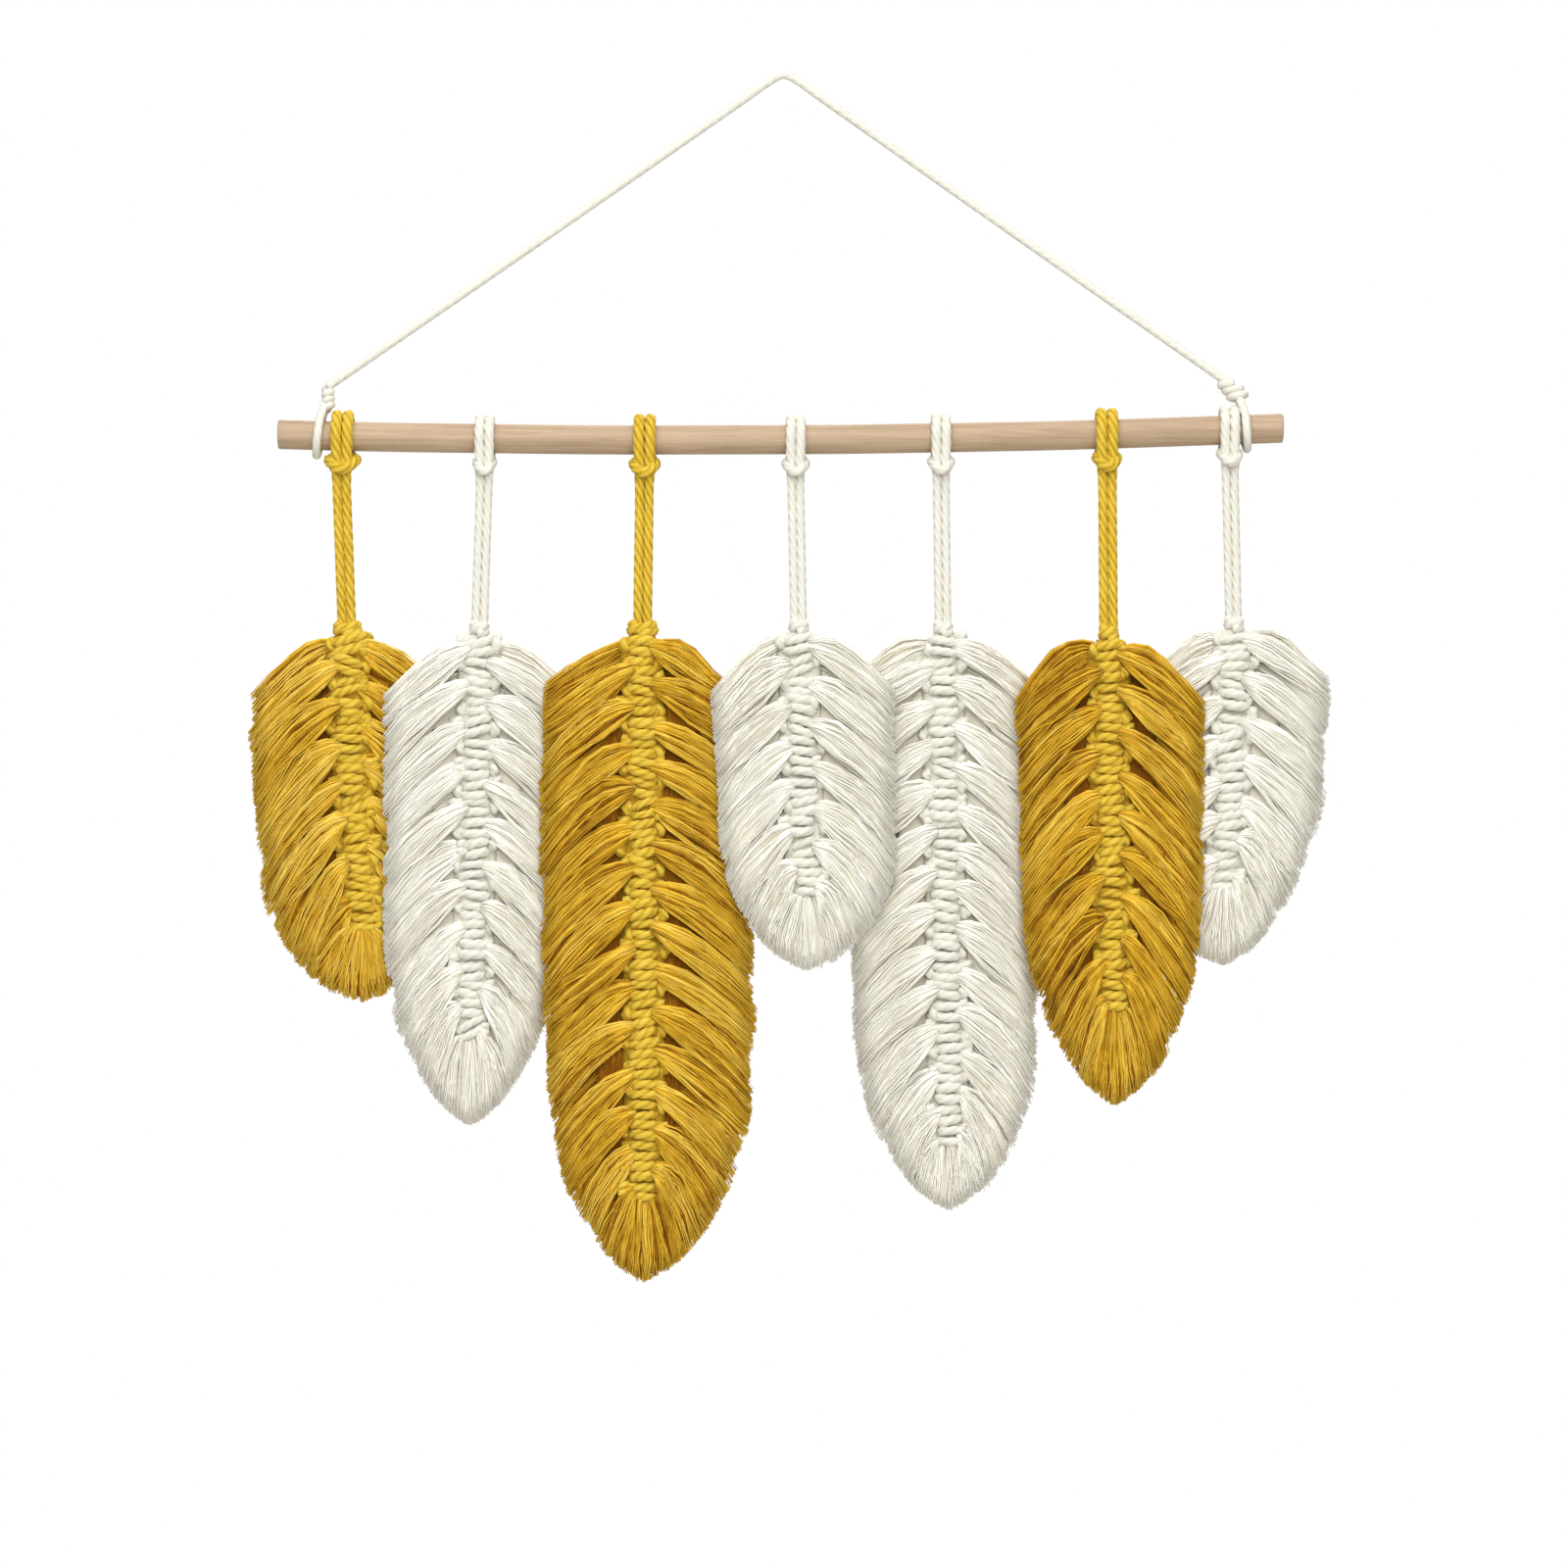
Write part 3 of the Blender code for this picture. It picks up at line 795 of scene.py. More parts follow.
@dataclass(frozen=True)
class Strand:
    """Make of a strand: a few fibres that wind about its axis. Sizes are in mm."""

    fibres: int = 4
    sides: int = 3
    turns: Chance = Chance(0.0, 0.55)           # how often its fibres go round the axis
    angle: Chance = Chance(0.0, 0.3)            # of a fibre off its even place round it
    loose: tuple[float, float] = (0.35, 0.95)   # least and most way of a fibre to the axis
    gathered: float = 0.75      # share of that way at the neck ...
    opened: float = 0.85        # ... and what is added to it by the end
    cut: float = 0.02           # mean share of its last step that a fibre lacks
    thick: tuple[float, float] = (0.32, 0.6)    # least and most radius of a fibre
    tip: float = 0.55           # share of its radius at its end
    tone: Chance = Chance(0.0, 0.14)

    def lay(self, skin: Skin, axes: Array, tone: Array, random: np.random.Generator) -> None:
        """Add a strand along each axis.

        A fibre is a three-sided tube that shows a flat side, and thins to its end. It goes
        round the strand's axis at an angle that turns along the strand, and further from
        the axis on the way to its end.

        Args:
            skin: what they are added to.
            axes: places in mm, shaped (strands, stations, 3).
            tone: lightness along each strand, that fits (strands, stations).
            random: source of their small differences.
        """
        strands, stations = axes.shape[:2]
        tangents = unit(np.gradient(axes, axis=1))
        front = np.array([0.0, -1.0, 0.0])
        normals = unit(front - (tangents @ front)[..., None] * tangents)
        binormals = np.cross(tangents, normals)
        along = np.linspace(0, 1, stations)
        shape = (strands, self.fibres, 1)
        first = round_angles(self.fibres)[None, :, None]
        first = first + random.uniform(0, 2 * math.pi, (strands, 1, 1))
        turns = self.turns.draw(random, (strands, 1, 1))
        angle = first + self.angle.draw(random, shape) + 2 * math.pi * turns * along
        loose = random.uniform(*self.loose, shape) * (self.gathered + self.opened * along)
        paths = axes[:, None] + (loose * np.cos(angle))[..., None] * normals[:, None]
        paths = paths + (loose * np.sin(angle))[..., None] * binormals[:, None]
        cut = random.exponential(self.cut, shape)
        paths[:, :, -1] -= cut * (paths[:, :, -1] - paths[:, :, -2])
        paths = paths.reshape(-1, stations, 3)

        normals = np.repeat(normals, self.fibres, axis=0)
        binormals = np.repeat(binormals, self.fibres, axis=0)
        corner = math.pi + round_angles(self.sides)
        size = random.uniform(*self.thick, (len(paths), 1))
        size = size * np.linspace(1.0, self.tip, stations)
        across, up = size[..., None] * np.cos(corner), size[..., None] * np.sin(corner)
        rings = paths[:, :, None] + across[..., None] * normals[:, :, None]
        rings += up[..., None] * binormals[:, :, None]
        steps = np.linalg.norm(np.diff(paths, axis=1), axis=2)
        travel = np.pad(np.cumsum(steps, axis=1), ((0, 0), (1, 0)))
        number = self.sides * np.arange(len(paths))
        yarn = places(np.arange(self.sides), number[:, None, None], travel[:, :, None])
        shade = np.repeat(np.broadcast_to(tone, (strands, stations)), self.fibres, axis=0)
        shade = shade + self.tone.draw(random, (len(paths), 1))
        skin.add_tubes(rings, shade[:, :, None], yarn)


@dataclass(frozen=True)
class Cover:
    """How strands cover a lock's painted-shade core, and how they stray. Shares are of the lock."""

    core_stops: tuple[float, ...] = (0.0, 0.1, 0.24, 0.42, 0.66, 0.96)
    core_columns: int = 10
    core_height: float = 0.8
    core_thick: float = 0.55
    core_length: float = 0.95
    core_painted_shade_tone: float = 0.08     # painted shade: it is seen only in the gaps
    outer: int = 13             # strands on the face that shows ...
    inner: int = 7              # ... and on the other
    stops: tuple[float, ...] = (0.0, 0.12, 0.27, 0.45, 0.69, 1.0)
    over: Chance = Chance(0.0, 0.05)        # of a strand off its even place
    depth: float = 0.9          # share of the thickness that the strands lie at ...
    rim: float = 0.05           # ... and the square of what is left of it at the edges
    through: Chance = Chance(0.0, 0.16)
    short: Chance = Chance(0.0, 0.008)      # share of its length that a strand lacks
    tone: float = 0.52
    strand_tone: Chance = Chance(0.0, 0.12)
    lock_tone: Chance = Chance(0.0, 0.05)
    painted_bunch_shading: float = 0.12    # painted light and shade: how much lighter the middle of a bunch is, where it stands out
    top_painted_shade: float = 0.2       # share of the painted shade that the top locks keep
    painted_shade_way: float = 0.35      # share of the way out over which the painted shade fades
    stray: float = 0.13         # how far strands stray across the lock, ...
    stray_tail: int = 4         # ... a few of them much further (Student's t), ...
    stray_most: float = 0.4     # ... but never more than this, ...
    stray_from: float = 0.2     # ... and the share of the way where they cross their course
    wave: float = 0.12          # how far a strand waves across the lock ...
    wave_turn: float = 7.0      # ... and the radians of that wave over its length


@dataclass(frozen=True)
class Tuft:
    """Form of the combed cotton at a feather's foot, in mm, and of its strands."""

    root: float = 6.0           # half its width where it leaves the last knot
    above: float = 2.0          # how far above the spine's foot it begins
    rise: float = 14.0          # from its tip up to its outer ends ...
    rise_power: float = 1.4     # ... by the way to its edge to this power
    spread: float = 0.2         # power by which inner fibres spread out to the outline
    turn: float = 0.6           # how much later its outer fibres turn down
    stops: tuple[float, ...] = (0.0, 0.2, 0.5, 1.0)
    thick: tuple[float, ...] = (4.4, 4.8, 3.4, 1.6)
    core_columns: int = 16
    core_width: float = 0.9
    core_thick: float = 0.6
    core_length: float = 0.95
    # painted shade: the dark core seen between the strands
    core_painted_shade_tone: float = 0.0
    strand_stops: tuple[float, ...] = (0.0, 0.12, 0.3, 0.55, 0.78, 1.0)
    over: Chance = Chance(0.0, 0.02)
    depth: float = 0.85
    through: Chance = Chance(0.0, 0.25)
    tone: float = 0.5
    strand_tone: Chance = Chance(0.0, 0.15)
    bunches: float = 2.5        # in half its width
    bunch: float = 0.5          # how far its strands have gone into them
    wave: float = 0.06


@dataclass(frozen=True)
class Web:
    """Form of the web of crossed fibres between the locks in front and those behind."""

    top: float = 9.0            # mm, depth of its upper edge
    least: float = 11.0         # mm, its half width there ...
    share: float = 0.5          # ... and the share of the outline that it grows to
    thick: float = 1.2          # mm
    columns: int = 12
    # tone 0: the web takes the hollow colour, painted shade
    tone: float = 0.0


@dataclass(frozen=True)
class Knotting:
    """Form of the spine's knots, in mm, and how they differ.

    The table is the upper half of one cord: across, through and up, from end to fold.
    """

    half: tuple[tuple[float, float, float], ...] = (
        (-11.0, 3.6, 1.5), (-8.4, 3.8, 1.9), (-6.4, 0.6, 2.4), (-4.8, -4.0, 2.6),
        (0.0, -5.6, 2.6), (4.4, -4.6, 2.6), (7.4, -0.6, 2.2), (9.0, 4.0, 0.8),
    )
    pitch: float = 10.3         # height of the row that the table fills
    samples: int = 200          # points that the cord's length is measured over
    tilt: Chance = Chance(0.0, 0.16)        # slope of a bar
    stretch: Chance = Chance(0.0, 0.09)     # of its width, as a share
    nudge: Chance = Chance(0.0, 0.6)        # up or down
    slide: Chance = Chance(0.0, 0.6)        # to a side
    swell: Chance = Chance(0.0, 0.16)       # of its depth, as a share
    plump: Chance = Chance(0.0, 0.06)       # of the cord's thickness, as a share
    waves: int = 2              # waves of the cord's thickness along it ...
    plump_wave: float = 0.09    # ... as a share of it
    rise_wave: float = 0.45     # how far the cord wanders up and down ...
    rise_rate: float = 1.7      # ... in this many times as many waves
    core_above: float = 1.0     # how far the core reaches past the spine's top ...
    core_below: float = 3.0     # ... and past its foot
    core_shoulder: float = 9.0  # depth at which it has its whole width ...
    core_waist: float = 6.0     # ... until this far above the foot
    core_width: float = 11.4    # half of it ...
    core_end: float = 6.0       # ... and at the ends
    core_thick: float = 3.6     # half of it
    core_columns: int = 10
    # painted shade: the dark core seen between the bars
    core_painted_shade_tone: float = 0.25


@dataclass(frozen=True)
class LarksHead:
    """Form of a loop, from its runs over the rod to its collar and its foot, in mm."""

    slack: float = 1.15         # share of its radius that the cord has where it is slack
    slack_over: float = 6.0     # height over which it comes to that
    gap: float = 0.5            # between the cord and the rod
    pair: float = 0.9           # half the way between the runs, in radii of the cord ...
    slack_pair: float = 0.94    # ... and over the rod, in radii of the slack cord
    foot_rise: float = 1.0      # from the spine's top to the runs' lower ends
    hang_back: float = 1.4      # how far behind the ring's front the runs hang ...
    hang_down: float = 24.0     # ... this far below the rod's middle
    ring: tuple[float, float] = (200.0, -52.0)      # degrees, 0 behind the rod and 90 on top
    ring_points: int = 8
    # the collar's left half: share of the cord's way out, then back and up from the rod's axis
    collar: tuple[tuple[float, float, float], ...] = (
        (-0.84, 3.4, -11.4), (-1.0, -2.6, -12.2), (-0.87, -8.4, -13.8), (-0.5, -12.6, -16.4),
    )
    smile: tuple[float, float] = (-14.4, -17.4)     # its lowest point, back and up
    samples: int = 600
    phase: float = 0.6          # first ply's angle, times the feather's number
    wraps: float = 1.9          # of the knot at its foot ...
    wrap_points: int = 25
    wrap_from: float = -0.6     # ... from this many half turns
    wrap_wide: float = 1.06     # share of the knot's width at the first wrap ...
    wrap_narrow: float = 0.12   # ... and what each turn loses of it
    wrap_depth: float = 4.0
    wrap_foot: float = 1.5      # how far above the spine's top it begins ...
    wrap_pitch: float = 2.7     # ... and how far each turn rises
    wrap_slope: float = 0.14    # slope of the wraps
    wrap_phase: float = 1.3


@dataclass
class Feather:
    """One feather: a loop over the rod, a spine of knots, and combed wings.

    Places are from the top of the spine, in mm, and a depth is measured down from there.
    """

    number: int
    dye: Dye
    rod_x: float                # where its loop hangs on the rod
    top: tuple[float, float, float]     # of the spine, in the frame of the model
    drift: float                # how far the spine's foot leans to the right
    rows: int
    spine: float
    tuft: float
    left: float
    right: float
    left_bend: float            # how far the wing's edge bends to the back
    right_bend: float
    taper: tuple[float, float]  # height over which its right and left side close
    first_side: int = 1         # side of the first lock that leaves the knots in front
    first_length: float = 1.0   # share of its length that the first lock on the right has
    crown: tuple[float, float] = (2.0, 2.0)     # arch of the first right and left lock
    knot_width: float = 11.5    # of the knot at the loop's foot
    collar_width: float = 13.5  # of the loop's collar under the rod
    loose: float = 0.45         # how far the locks have gone into bunches
    shade: float = 0.0          # how much lighter its wings are than those of its dye
    hang: float = 1.08          # how far its locks fall, as a share of the common fall
    painted_neck_shade: float = 0.8           # painted shade: how much darker the locks behind are beside the spine
    press: tuple[float, float] = (1.0, 1.0)     # share of their rise that its right and
                                # left locks keep, where a neighbour lies on them

    ridge: float = 9.5          # half width of the spine, over which the wings don't bend
    bend_power: float = 1.2
    lean_power: float = 1.4
    shoulder: float = 35.0      # depth over which the wings open
    close: tuple[float, float] = (1.9, 0.65)    # powers of the curve that closes the foot
    widest: float = 1.04        # share of its half width at the top ...
    loss: float = 0.12          # ... and what is lost of it on the way down
    least_fall: float = 26.0    # fall of a lock at the very top ...
    more_fall: float = 9.0      # ... how much further the others come to fall ...
    fall_depth: float = 25.0    # ... and the depth by which they mostly do
    gather: float = 60.0        # height over which the last locks gather to the tip ...
    gather_power: int = 3
    last_fall: float = 7.0      # ... and how far above it the lowest ones end
    wing_seed: int = 100        # of the wings' small differences, before its number ...
    knot_seed: int = 200        # ... and of the knots'
    combing: Combing = Combing()
    uneven: Unevenness = Unevenness()
    cover: Cover = Cover()
    strand: Strand = Strand()
    foot: Tuft = Tuft()
    web: Web = Web()
    knotting: Knotting = Knotting()
    head: LarksHead = LarksHead()

    def outline(self, depth: Array, side: Array) -> Array:
        """Half width at a depth.

        The full width times a quarter circle at the shoulder, times a closing curve
        (1 - open^1.9)^0.65 over the taper, times a slight loss of width on the way down.

        Args:
            depth: depths below the top of the spine.
            side: 1 for the right half, -1 for the left one, that fits the depths.

        Returns:
            Half widths in mm.
        """
        total = self.spine + self.tuft
        full = np.where(side > 0, self.right, self.left)
        shoulder = np.sqrt(1 - (1 - np.clip(depth / self.shoulder, 0, 1)) ** 2)
        taper = np.where(side > 0, *self.taper)
        open_share = 1 - np.clip((total - depth) / taper, 0, 1)
        closing = (1 - open_share ** self.close[0]) ** self.close[1]
        return full * shoulder * closing * (self.widest - self.loss * depth / total)

    def lean(self, depth: Array) -> Array:
        """Sideways place: the drift times the share of the spine's depth, to the 1.4."""
        return self.drift * np.clip(depth / self.spine, 0, 1) ** self.lean_power

    def fall(self, start: Array) -> Array:
        """Drop of a lock from its neck to its cut end.

        It grows with depth from the least fall to that and the further one, as one less a
        dying exponential, all times the hang. Over the gathering height it goes over to the
        tuft's length less the last fall, with the cube of the way through that height.

        Args:
            start: depths of the necks.

        Returns:
            Drops in mm.
        """
        fall = self.hang * (
            self.least_fall + self.more_fall * (1 - np.exp(-start / self.fall_depth))
        )
        gather = np.maximum((start - self.spine) / self.gather + 1, 0) ** self.gather_power
        return fall + (self.tuft - self.last_fall - fall) * gather

    def bend(self, across: Array, side: Array) -> Array:
        """How far back a wing lies: its edge's bend times the way out to the 1.2.

        Args:
            across: ways out from the middle of the spine.
            side: 1 for the right wing, -1 for the left one, that fits the ways.

        Returns:
            Places along Y, in mm.
        """
        edge = np.where(side > 0, self.right_bend, self.left_bend)
        full = np.where(side > 0, self.right, self.left)
        share = np.maximum((across - self.ridge) / (full - self.ridge), 0)
        return edge * share ** self.bend_power

    def lock_place(
        self, locks: Locks, over: Array, through: Array, along: Array, reach: Array | float
    ) -> Array:
        """Place in a lock.

        The lock fans out from its neck: the fall is the way along to a power that grows
        from the lower to the upper edge. So an upper fibre leaves level and turns down
        late, a lower one falls straight away, and all of them end on the feather's outline.
        At first the upper fibres arch up by half a sine, and the whole lock hangs below its
        arc by half a sine over its length. Near the neck the lock stands out from the
        wing's plane, and it thins towards its end. On the way the strands draw together
        into bunches: the place across the lock less the sine of the bunches' angle, over
        that angle's rate.

        Args:
            locks: the locks.
            over: across the lock, from -1 at its lower to 1 at its upper edge.
            through: through the lock, from -1 at its front to 1 at its back.
            along: from 0 at the neck to 1 at the cut end.
            reach: share of the whole length that the fibre has.

        Returns:
            Places in mm, with a last axis of 3.
        """
        form = self.combing
        front = locks.face < 0
        t = along * reach
        rate = 2 * math.pi * form.bunches
        drawn = locks.bunch * t ** form.draw
        beat = rate * over + locks.phase
        through = through * (1 + form.plump * drawn * np.cos(beat))
        over = over - drawn * np.sin(beat) / rate

        fall = self.fall(locks.start) + locks.drop - over * form.fan * locks.fan
        root = np.where(front, form.root + form.wedge * over ** 2, form.back_root)
        edge = self.outline(locks.start + fall, locks.side) * locks.length
        fall = fall * locks.length
        across = root + (edge - root) * (1 - (1 - t) ** form.reach)
        neck = np.where(front, form.neck, form.back_neck) * np.clip(1 - t, 0, 1) ** form.narrow
        arch = (form.arch_foot + over) * np.sin(math.pi * np.minimum(t * form.arch_rate, 1))
        turned = t ** (form.turn + form.turn_upper * over)
        sag = locks.sway * np.sin(math.pi * t)
        depth = locks.start + fall * turned - over * neck - locks.lift * arch + sag
        front_rise = np.interp(t, form.stops, form.front_rise)
        back_rise = np.interp(t, form.stops, form.back_rise)
        rise = locks.bulge * np.where(front, front_rise, back_rise)
        y = locks.face * rise + through * np.interp(t, form.stops, form.thick)
        y = y + self.bend(across, locks.side)
        return places(self.lean(depth) + locks.side * across, y, -depth)

    def tuft_place(
        self, over: Array, through: Array, along: Array, reach: Array | float
    ) -> Array:
        """Place in the tuft under the last row.

        Fibres run from the spine's foot to a cut edge that rises to both sides of the tip.
        The way across goes evenly from the root to the outline. The way down is the way
        along to a power that grows to the edges.

        Args:
            over: from -1 at the tuft's left edge to 1 at its right edge.
            through: through the tuft, from -1 at its front to 1 at its back.
            along: from 0 at the spine to 1 at the cut edge.
            reach: share of the whole length that the fibre has.

        Returns:
            Places in mm, with a last axis of 3.
        """
        form = self.foot
        side = np.where(over > 0, 1, -1)
        outer = np.abs(over)
        t = along * reach
        cut = form.rise * outer ** form.rise_power
        end = self.outline(self.spine + self.tuft - cut, side) * outer ** form.spread
        across = form.root * outer * (1 - t) + end * t
        length = self.tuft + form.above - cut
        depth = self.spine - form.above + length * t ** (1 + form.turn * outer)
        y = through * np.interp(t, form.stops, form.thick) + self.bend(across, side)
        return places(self.lean(depth) + side * across, y, -depth)

    def comb(self, random: np.random.Generator) -> Locks:
        """Sizes of all the locks: two for each row of knots, each a little different.

        Args:
            random: source of their small differences.

        Returns:
            The locks from the top down, the right one of each row before the left one.
        """
        uneven = self.uneven
        pitch = self.spine / self.rows
        row = np.repeat(np.arange(self.rows), 2)
        side = np.tile([1, -1], self.rows)
        in_front = (-1) ** row * self.first_side == side
        count = len(row)
        start = (row + 0.5) * pitch
        length = 1 + uneven.length.draw(random, count)
        length[0] *= self.first_length
        lift = np.abs(uneven.lift.draw(random, count))
        lift[:2] = self.crown
        return Locks(
            side=side,
            face=np.where(in_front, Face.FRONT.value, Face.BACK.value),
            start=start + uneven.start.draw(random, count),
            drop=uneven.drop.draw(random, count),
            fan=uneven.fan.draw(random, count),
            lift=lift,
            bulge=uneven.bulge.draw(random, count) * np.where(side > 0, *self.press),
            length=length,
            sway=uneven.sway.draw(random, count),
            bunch=replace(uneven.bunch, middle=self.loose).draw(random, count),
            phase=random.uniform(0, 2 * math.pi, count),
        )

    def add_locks(self, skin: Skin, random: np.random.Generator) -> None:
        """Add every lock: a core dark with painted shade, and strands over its two faces.

        A strand lies at an even place across the lock, rounded off to its edges like an
        oval. From there it strays to a side in a straight line, and waves by a sine that
        dies at both ends. Locks behind the spine get painted shade beside it, on the side
        that faces the viewer.

        Args:
            skin: what they are added to.
            random: source of their small differences.
        """
        cover = self.cover
        locks = self.comb(random)
        count = len(locks.side)
        along = np.array(cover.core_stops)[:, None]
        around = round_angles(cover.core_columns)
        wide = locks.spread(2)
        rings = self.lock_place(
            wide, cover.core_height * np.cos(around), cover.core_thick * np.sin(around),
            along, cover.core_length,
        )
        rings = np.where((wide.side > 0)[..., None], rings[:, :, ::-1], rings)
        skin.add_tubes(rings, cover.core_painted_shade_tone, rings)

        numbers = (cover.outer, cover.inner)
        even = np.concatenate([2 * (np.arange(n) + 0.5) / n - 1 for n in numbers])
        over = even + cover.over.draw(random, (count, sum(numbers)))
        facing = np.repeat([1, -1], numbers)
        round_off = np.sqrt(np.clip(1 - over ** 2, cover.rim, 1))
        through = cover.depth * locks.face[:, None] * facing * round_off
        through = through + cover.through.draw(random, over.shape)
        along = np.array(cover.stops)
        tone = cover.tone + cover.strand_tone.draw(random, over.shape)
        tone = tone + cover.lock_tone.draw(random, (count, 1)) + self.shade
        beat = 2 * math.pi * self.combing.bunches * over + locks.phase[:, None]
        # painted light on the middles of the bunches, painted shade at their edges
        tone = tone + cover.painted_bunch_shading * np.cos(beat)
        # painted shade beside the spine, on the viewer's side of the locks behind
        painted_shade_mask = (locks.face[:, None] * facing < 0) * (locks.face[:, None] > 0) * 1.0
        painted_shade_mask[:2] *= cover.top_painted_shade
        shade = self.painted_neck_shade * painted_shade_mask[..., None] * np.exp(-along / cover.painted_shade_way)
        stray = cover.stray * random.standard_t(cover.stray_tail, over.shape)
        stray = np.clip(stray, -cover.stray_most, cover.stray_most)
        wave = random.uniform(0, 2 * math.pi, (*over.shape, 1)) + cover.wave_turn * along
        over = over[..., None] + stray[..., None] * (along - cover.stray_from)
        over = over + cover.wave * np.sin(wave) * np.sin(math.pi * along)
        reach = 1 - np.abs(cover.short.draw(random, (count, sum(numbers))))
        axes = self.lock_place(wide, over, through[..., None], along, reach[..., None])
        tones = (tone[..., None] - shade).reshape(-1, len(along))
        self.strand.lay(skin, axes.reshape(-1, len(along), 3), tones, random)

    def add_tuft(self, skin: Skin, random: np.random.Generator) -> None:
        """Add the combed cotton below the last row: a painted-shade core, and strands over it.

        Args:
            skin: what it is added to.
            random: source of its small differences.
        """
        form, cover = self.foot, self.cover
        along = np.array(form.strand_stops)
        around = round_angles(form.core_columns)
        rings = self.tuft_place(
            form.core_width * np.cos(around), -form.core_thick * np.sin(around),
            along[:, None] * form.core_length, 1.0,
        )
        skin.add_tubes(rings[None], form.core_painted_shade_tone, rings[None])

        half = 2 * (cover.outer + cover.inner)
        over = np.tile(np.linspace(-1, 1, half), 2) + form.over.draw(random, 2 * half)
        over = np.clip(over, -1, 1)[:, None]
        through = np.repeat([-form.depth, form.depth], half)
        through = through + form.through.draw(random, 2 * half)
        reach = 1 - np.abs(cover.short.draw(random, (2 * half, 1)))
        rate = 2 * math.pi * form.bunches
        beat = rate * over + random.uniform(0, 2 * math.pi)
        # painted light on the middles of the bunches, painted shade at their edges
        tone = form.tone + cover.painted_bunch_shading * np.cos(beat)
        tone = tone + form.strand_tone.draw(random, (2 * half, 1)) + self.shade
        wave = random.uniform(0, 2 * math.pi, (2 * half, 1)) + cover.wave_turn * along
        over = over - form.bunch * np.sin(beat) / rate
        over = np.clip(over + form.wave * np.sin(wave) * along, -1, 1)
        axes = self.tuft_place(over, through[:, None], along, reach)
        self.strand.lay(skin, axes, tone, random)

    def add_web(self, skin: Skin) -> None:
        """Add the web of crossed fibres between the locks in front and those behind.

        A flat oval carried down the spine. Its half width is a share of the outline, which
        it reaches a shoulder's height below its upper edge, and never less than at the top.
        It has the tone of painted shade.

        Args:
            skin: what it is added to.
        """
        web = self.web
        depths = np.linspace(web.top, self.spine, 2 * self.rows)[:, None]
        around = round_angles(web.columns)
        side = np.where(np.cos(around) > 0, 1, -1)
        grown = np.clip((depths - web.top) / self.shoulder, 0, 1)
        wide = np.maximum(web.share * grown * self.outline(depths, side), web.least)
        across = wide * np.abs(np.cos(around))
        y = self.bend(across, side) - 0.5 * web.thick * np.sin(around)
        rings = places(self.lean(depths) + side * across, y, -depths)
        skin.add_tubes(rings[None], web.tone, rings[None])

    def build_wings(self) -> bpy.types.Object:
        """All the combed locks of the feather, their web, and its tuft.

        Returns:
            The piece, in the place of the feather's node.
        """
        random = np.random.default_rng(self.wing_seed + self.number)
        skin = Skin()
        self.add_web(skin)
        self.add_locks(skin, random)
        self.add_tuft(skin, random)
        return self.finish(skin, "wings", COMBED_FINISH[self.dye])

    def finish(self, skin: Skin, name: str, finish: Cotton) -> bpy.types.Object:
        """Move a skin to the feather's top, and make a piece of it.

        Args:
            skin: the surfaces, with places from the top of the spine.
            name: last word of the piece's name.
            finish: what it is made of.

        Returns:
            The piece, in the place of the feather's node.
        """
        skin.places = [block + np.array(self.top) for block in skin.places]
        piece = skin.make(f"feather_{self.number}_{name}", dressed(finish))
        settle(piece, [f"feather_{self.number}"])
        return piece

    def build_spine(self) -> bpy.types.Object:
        """The knots: two folded cords for each row, one in front and one turned half round.

        The front cord crosses the spine as two bars, folds back under the lock that leaves
        on its side, and dives through the other cord's fold on the other side. Inside them
        runs a flat core, darkened as painted shade.

        Returns:
            The piece, in the place of the feather's node.
        """
        form = self.knotting
        random = np.random.default_rng(self.knot_seed + self.number)
        pitch = self.spine / self.rows
        half = np.array(form.half)
        knots = np.concatenate([half, half[::-1] * (1, 1, -1)])
        base = KNOT_CORD.route(knots, form.samples) * (1, 1, pitch / form.pitch)
        row = np.repeat(np.arange(self.rows), 2)
        behind = np.tile([1, -1], self.rows)
        side = (-1) ** row * self.first_side
        count = (len(row), 1)
        tilt = form.tilt.draw(random, count)
        stretch = 1 + form.stretch.draw(random, count)
        nudge = form.nudge.draw(random, count)
        slide = form.slide.draw(random, count)
        swell = 1 + form.swell.draw(random, count)
        wave = random.uniform(0, 2 * math.pi, count)
        wave = wave + 2 * form.waves * math.pi * np.linspace(0, 1, len(base))
        plump = 1 + form.plump.draw(random, count) + form.plump_wave * np.sin(wave)
        x = base[:, 0] * (side * behind)[:, None] * stretch + slide
        y = base[:, 1] * behind[:, None] * swell
        z = base[:, 2] + x * tilt + nudge + form.rise_wave * np.sin(form.rise_rate * wave)
        depth = (row + 0.5)[:, None] * pitch - z
        skin = Skin()
        first = random.uniform(0, 2 * math.pi, len(row))
        KNOT_CORD.wind(skin, places(self.lean(depth) + x, y, -depth), first, plump)

        ends = [-form.core_above, form.core_shoulder,
                self.spine - form.core_waist, self.spine + form.core_below]
        depths = np.linspace(ends[0], ends[-1], 3 * self.rows)[:, None]
        widths = [form.core_end, form.core_width, form.core_width, form.core_end]
        around = round_angles(form.core_columns)
        across = np.interp(depths, ends, widths) * np.cos(around)
        core = places(self.lean(depths) + across, form.core_thick * np.sin(around), -depths)
        core = core[None, ::-1]
        skin.add_tubes(core, form.core_painted_shade_tone, core)
        return self.finish(skin, "spine", CORD_FINISH[self.dye])

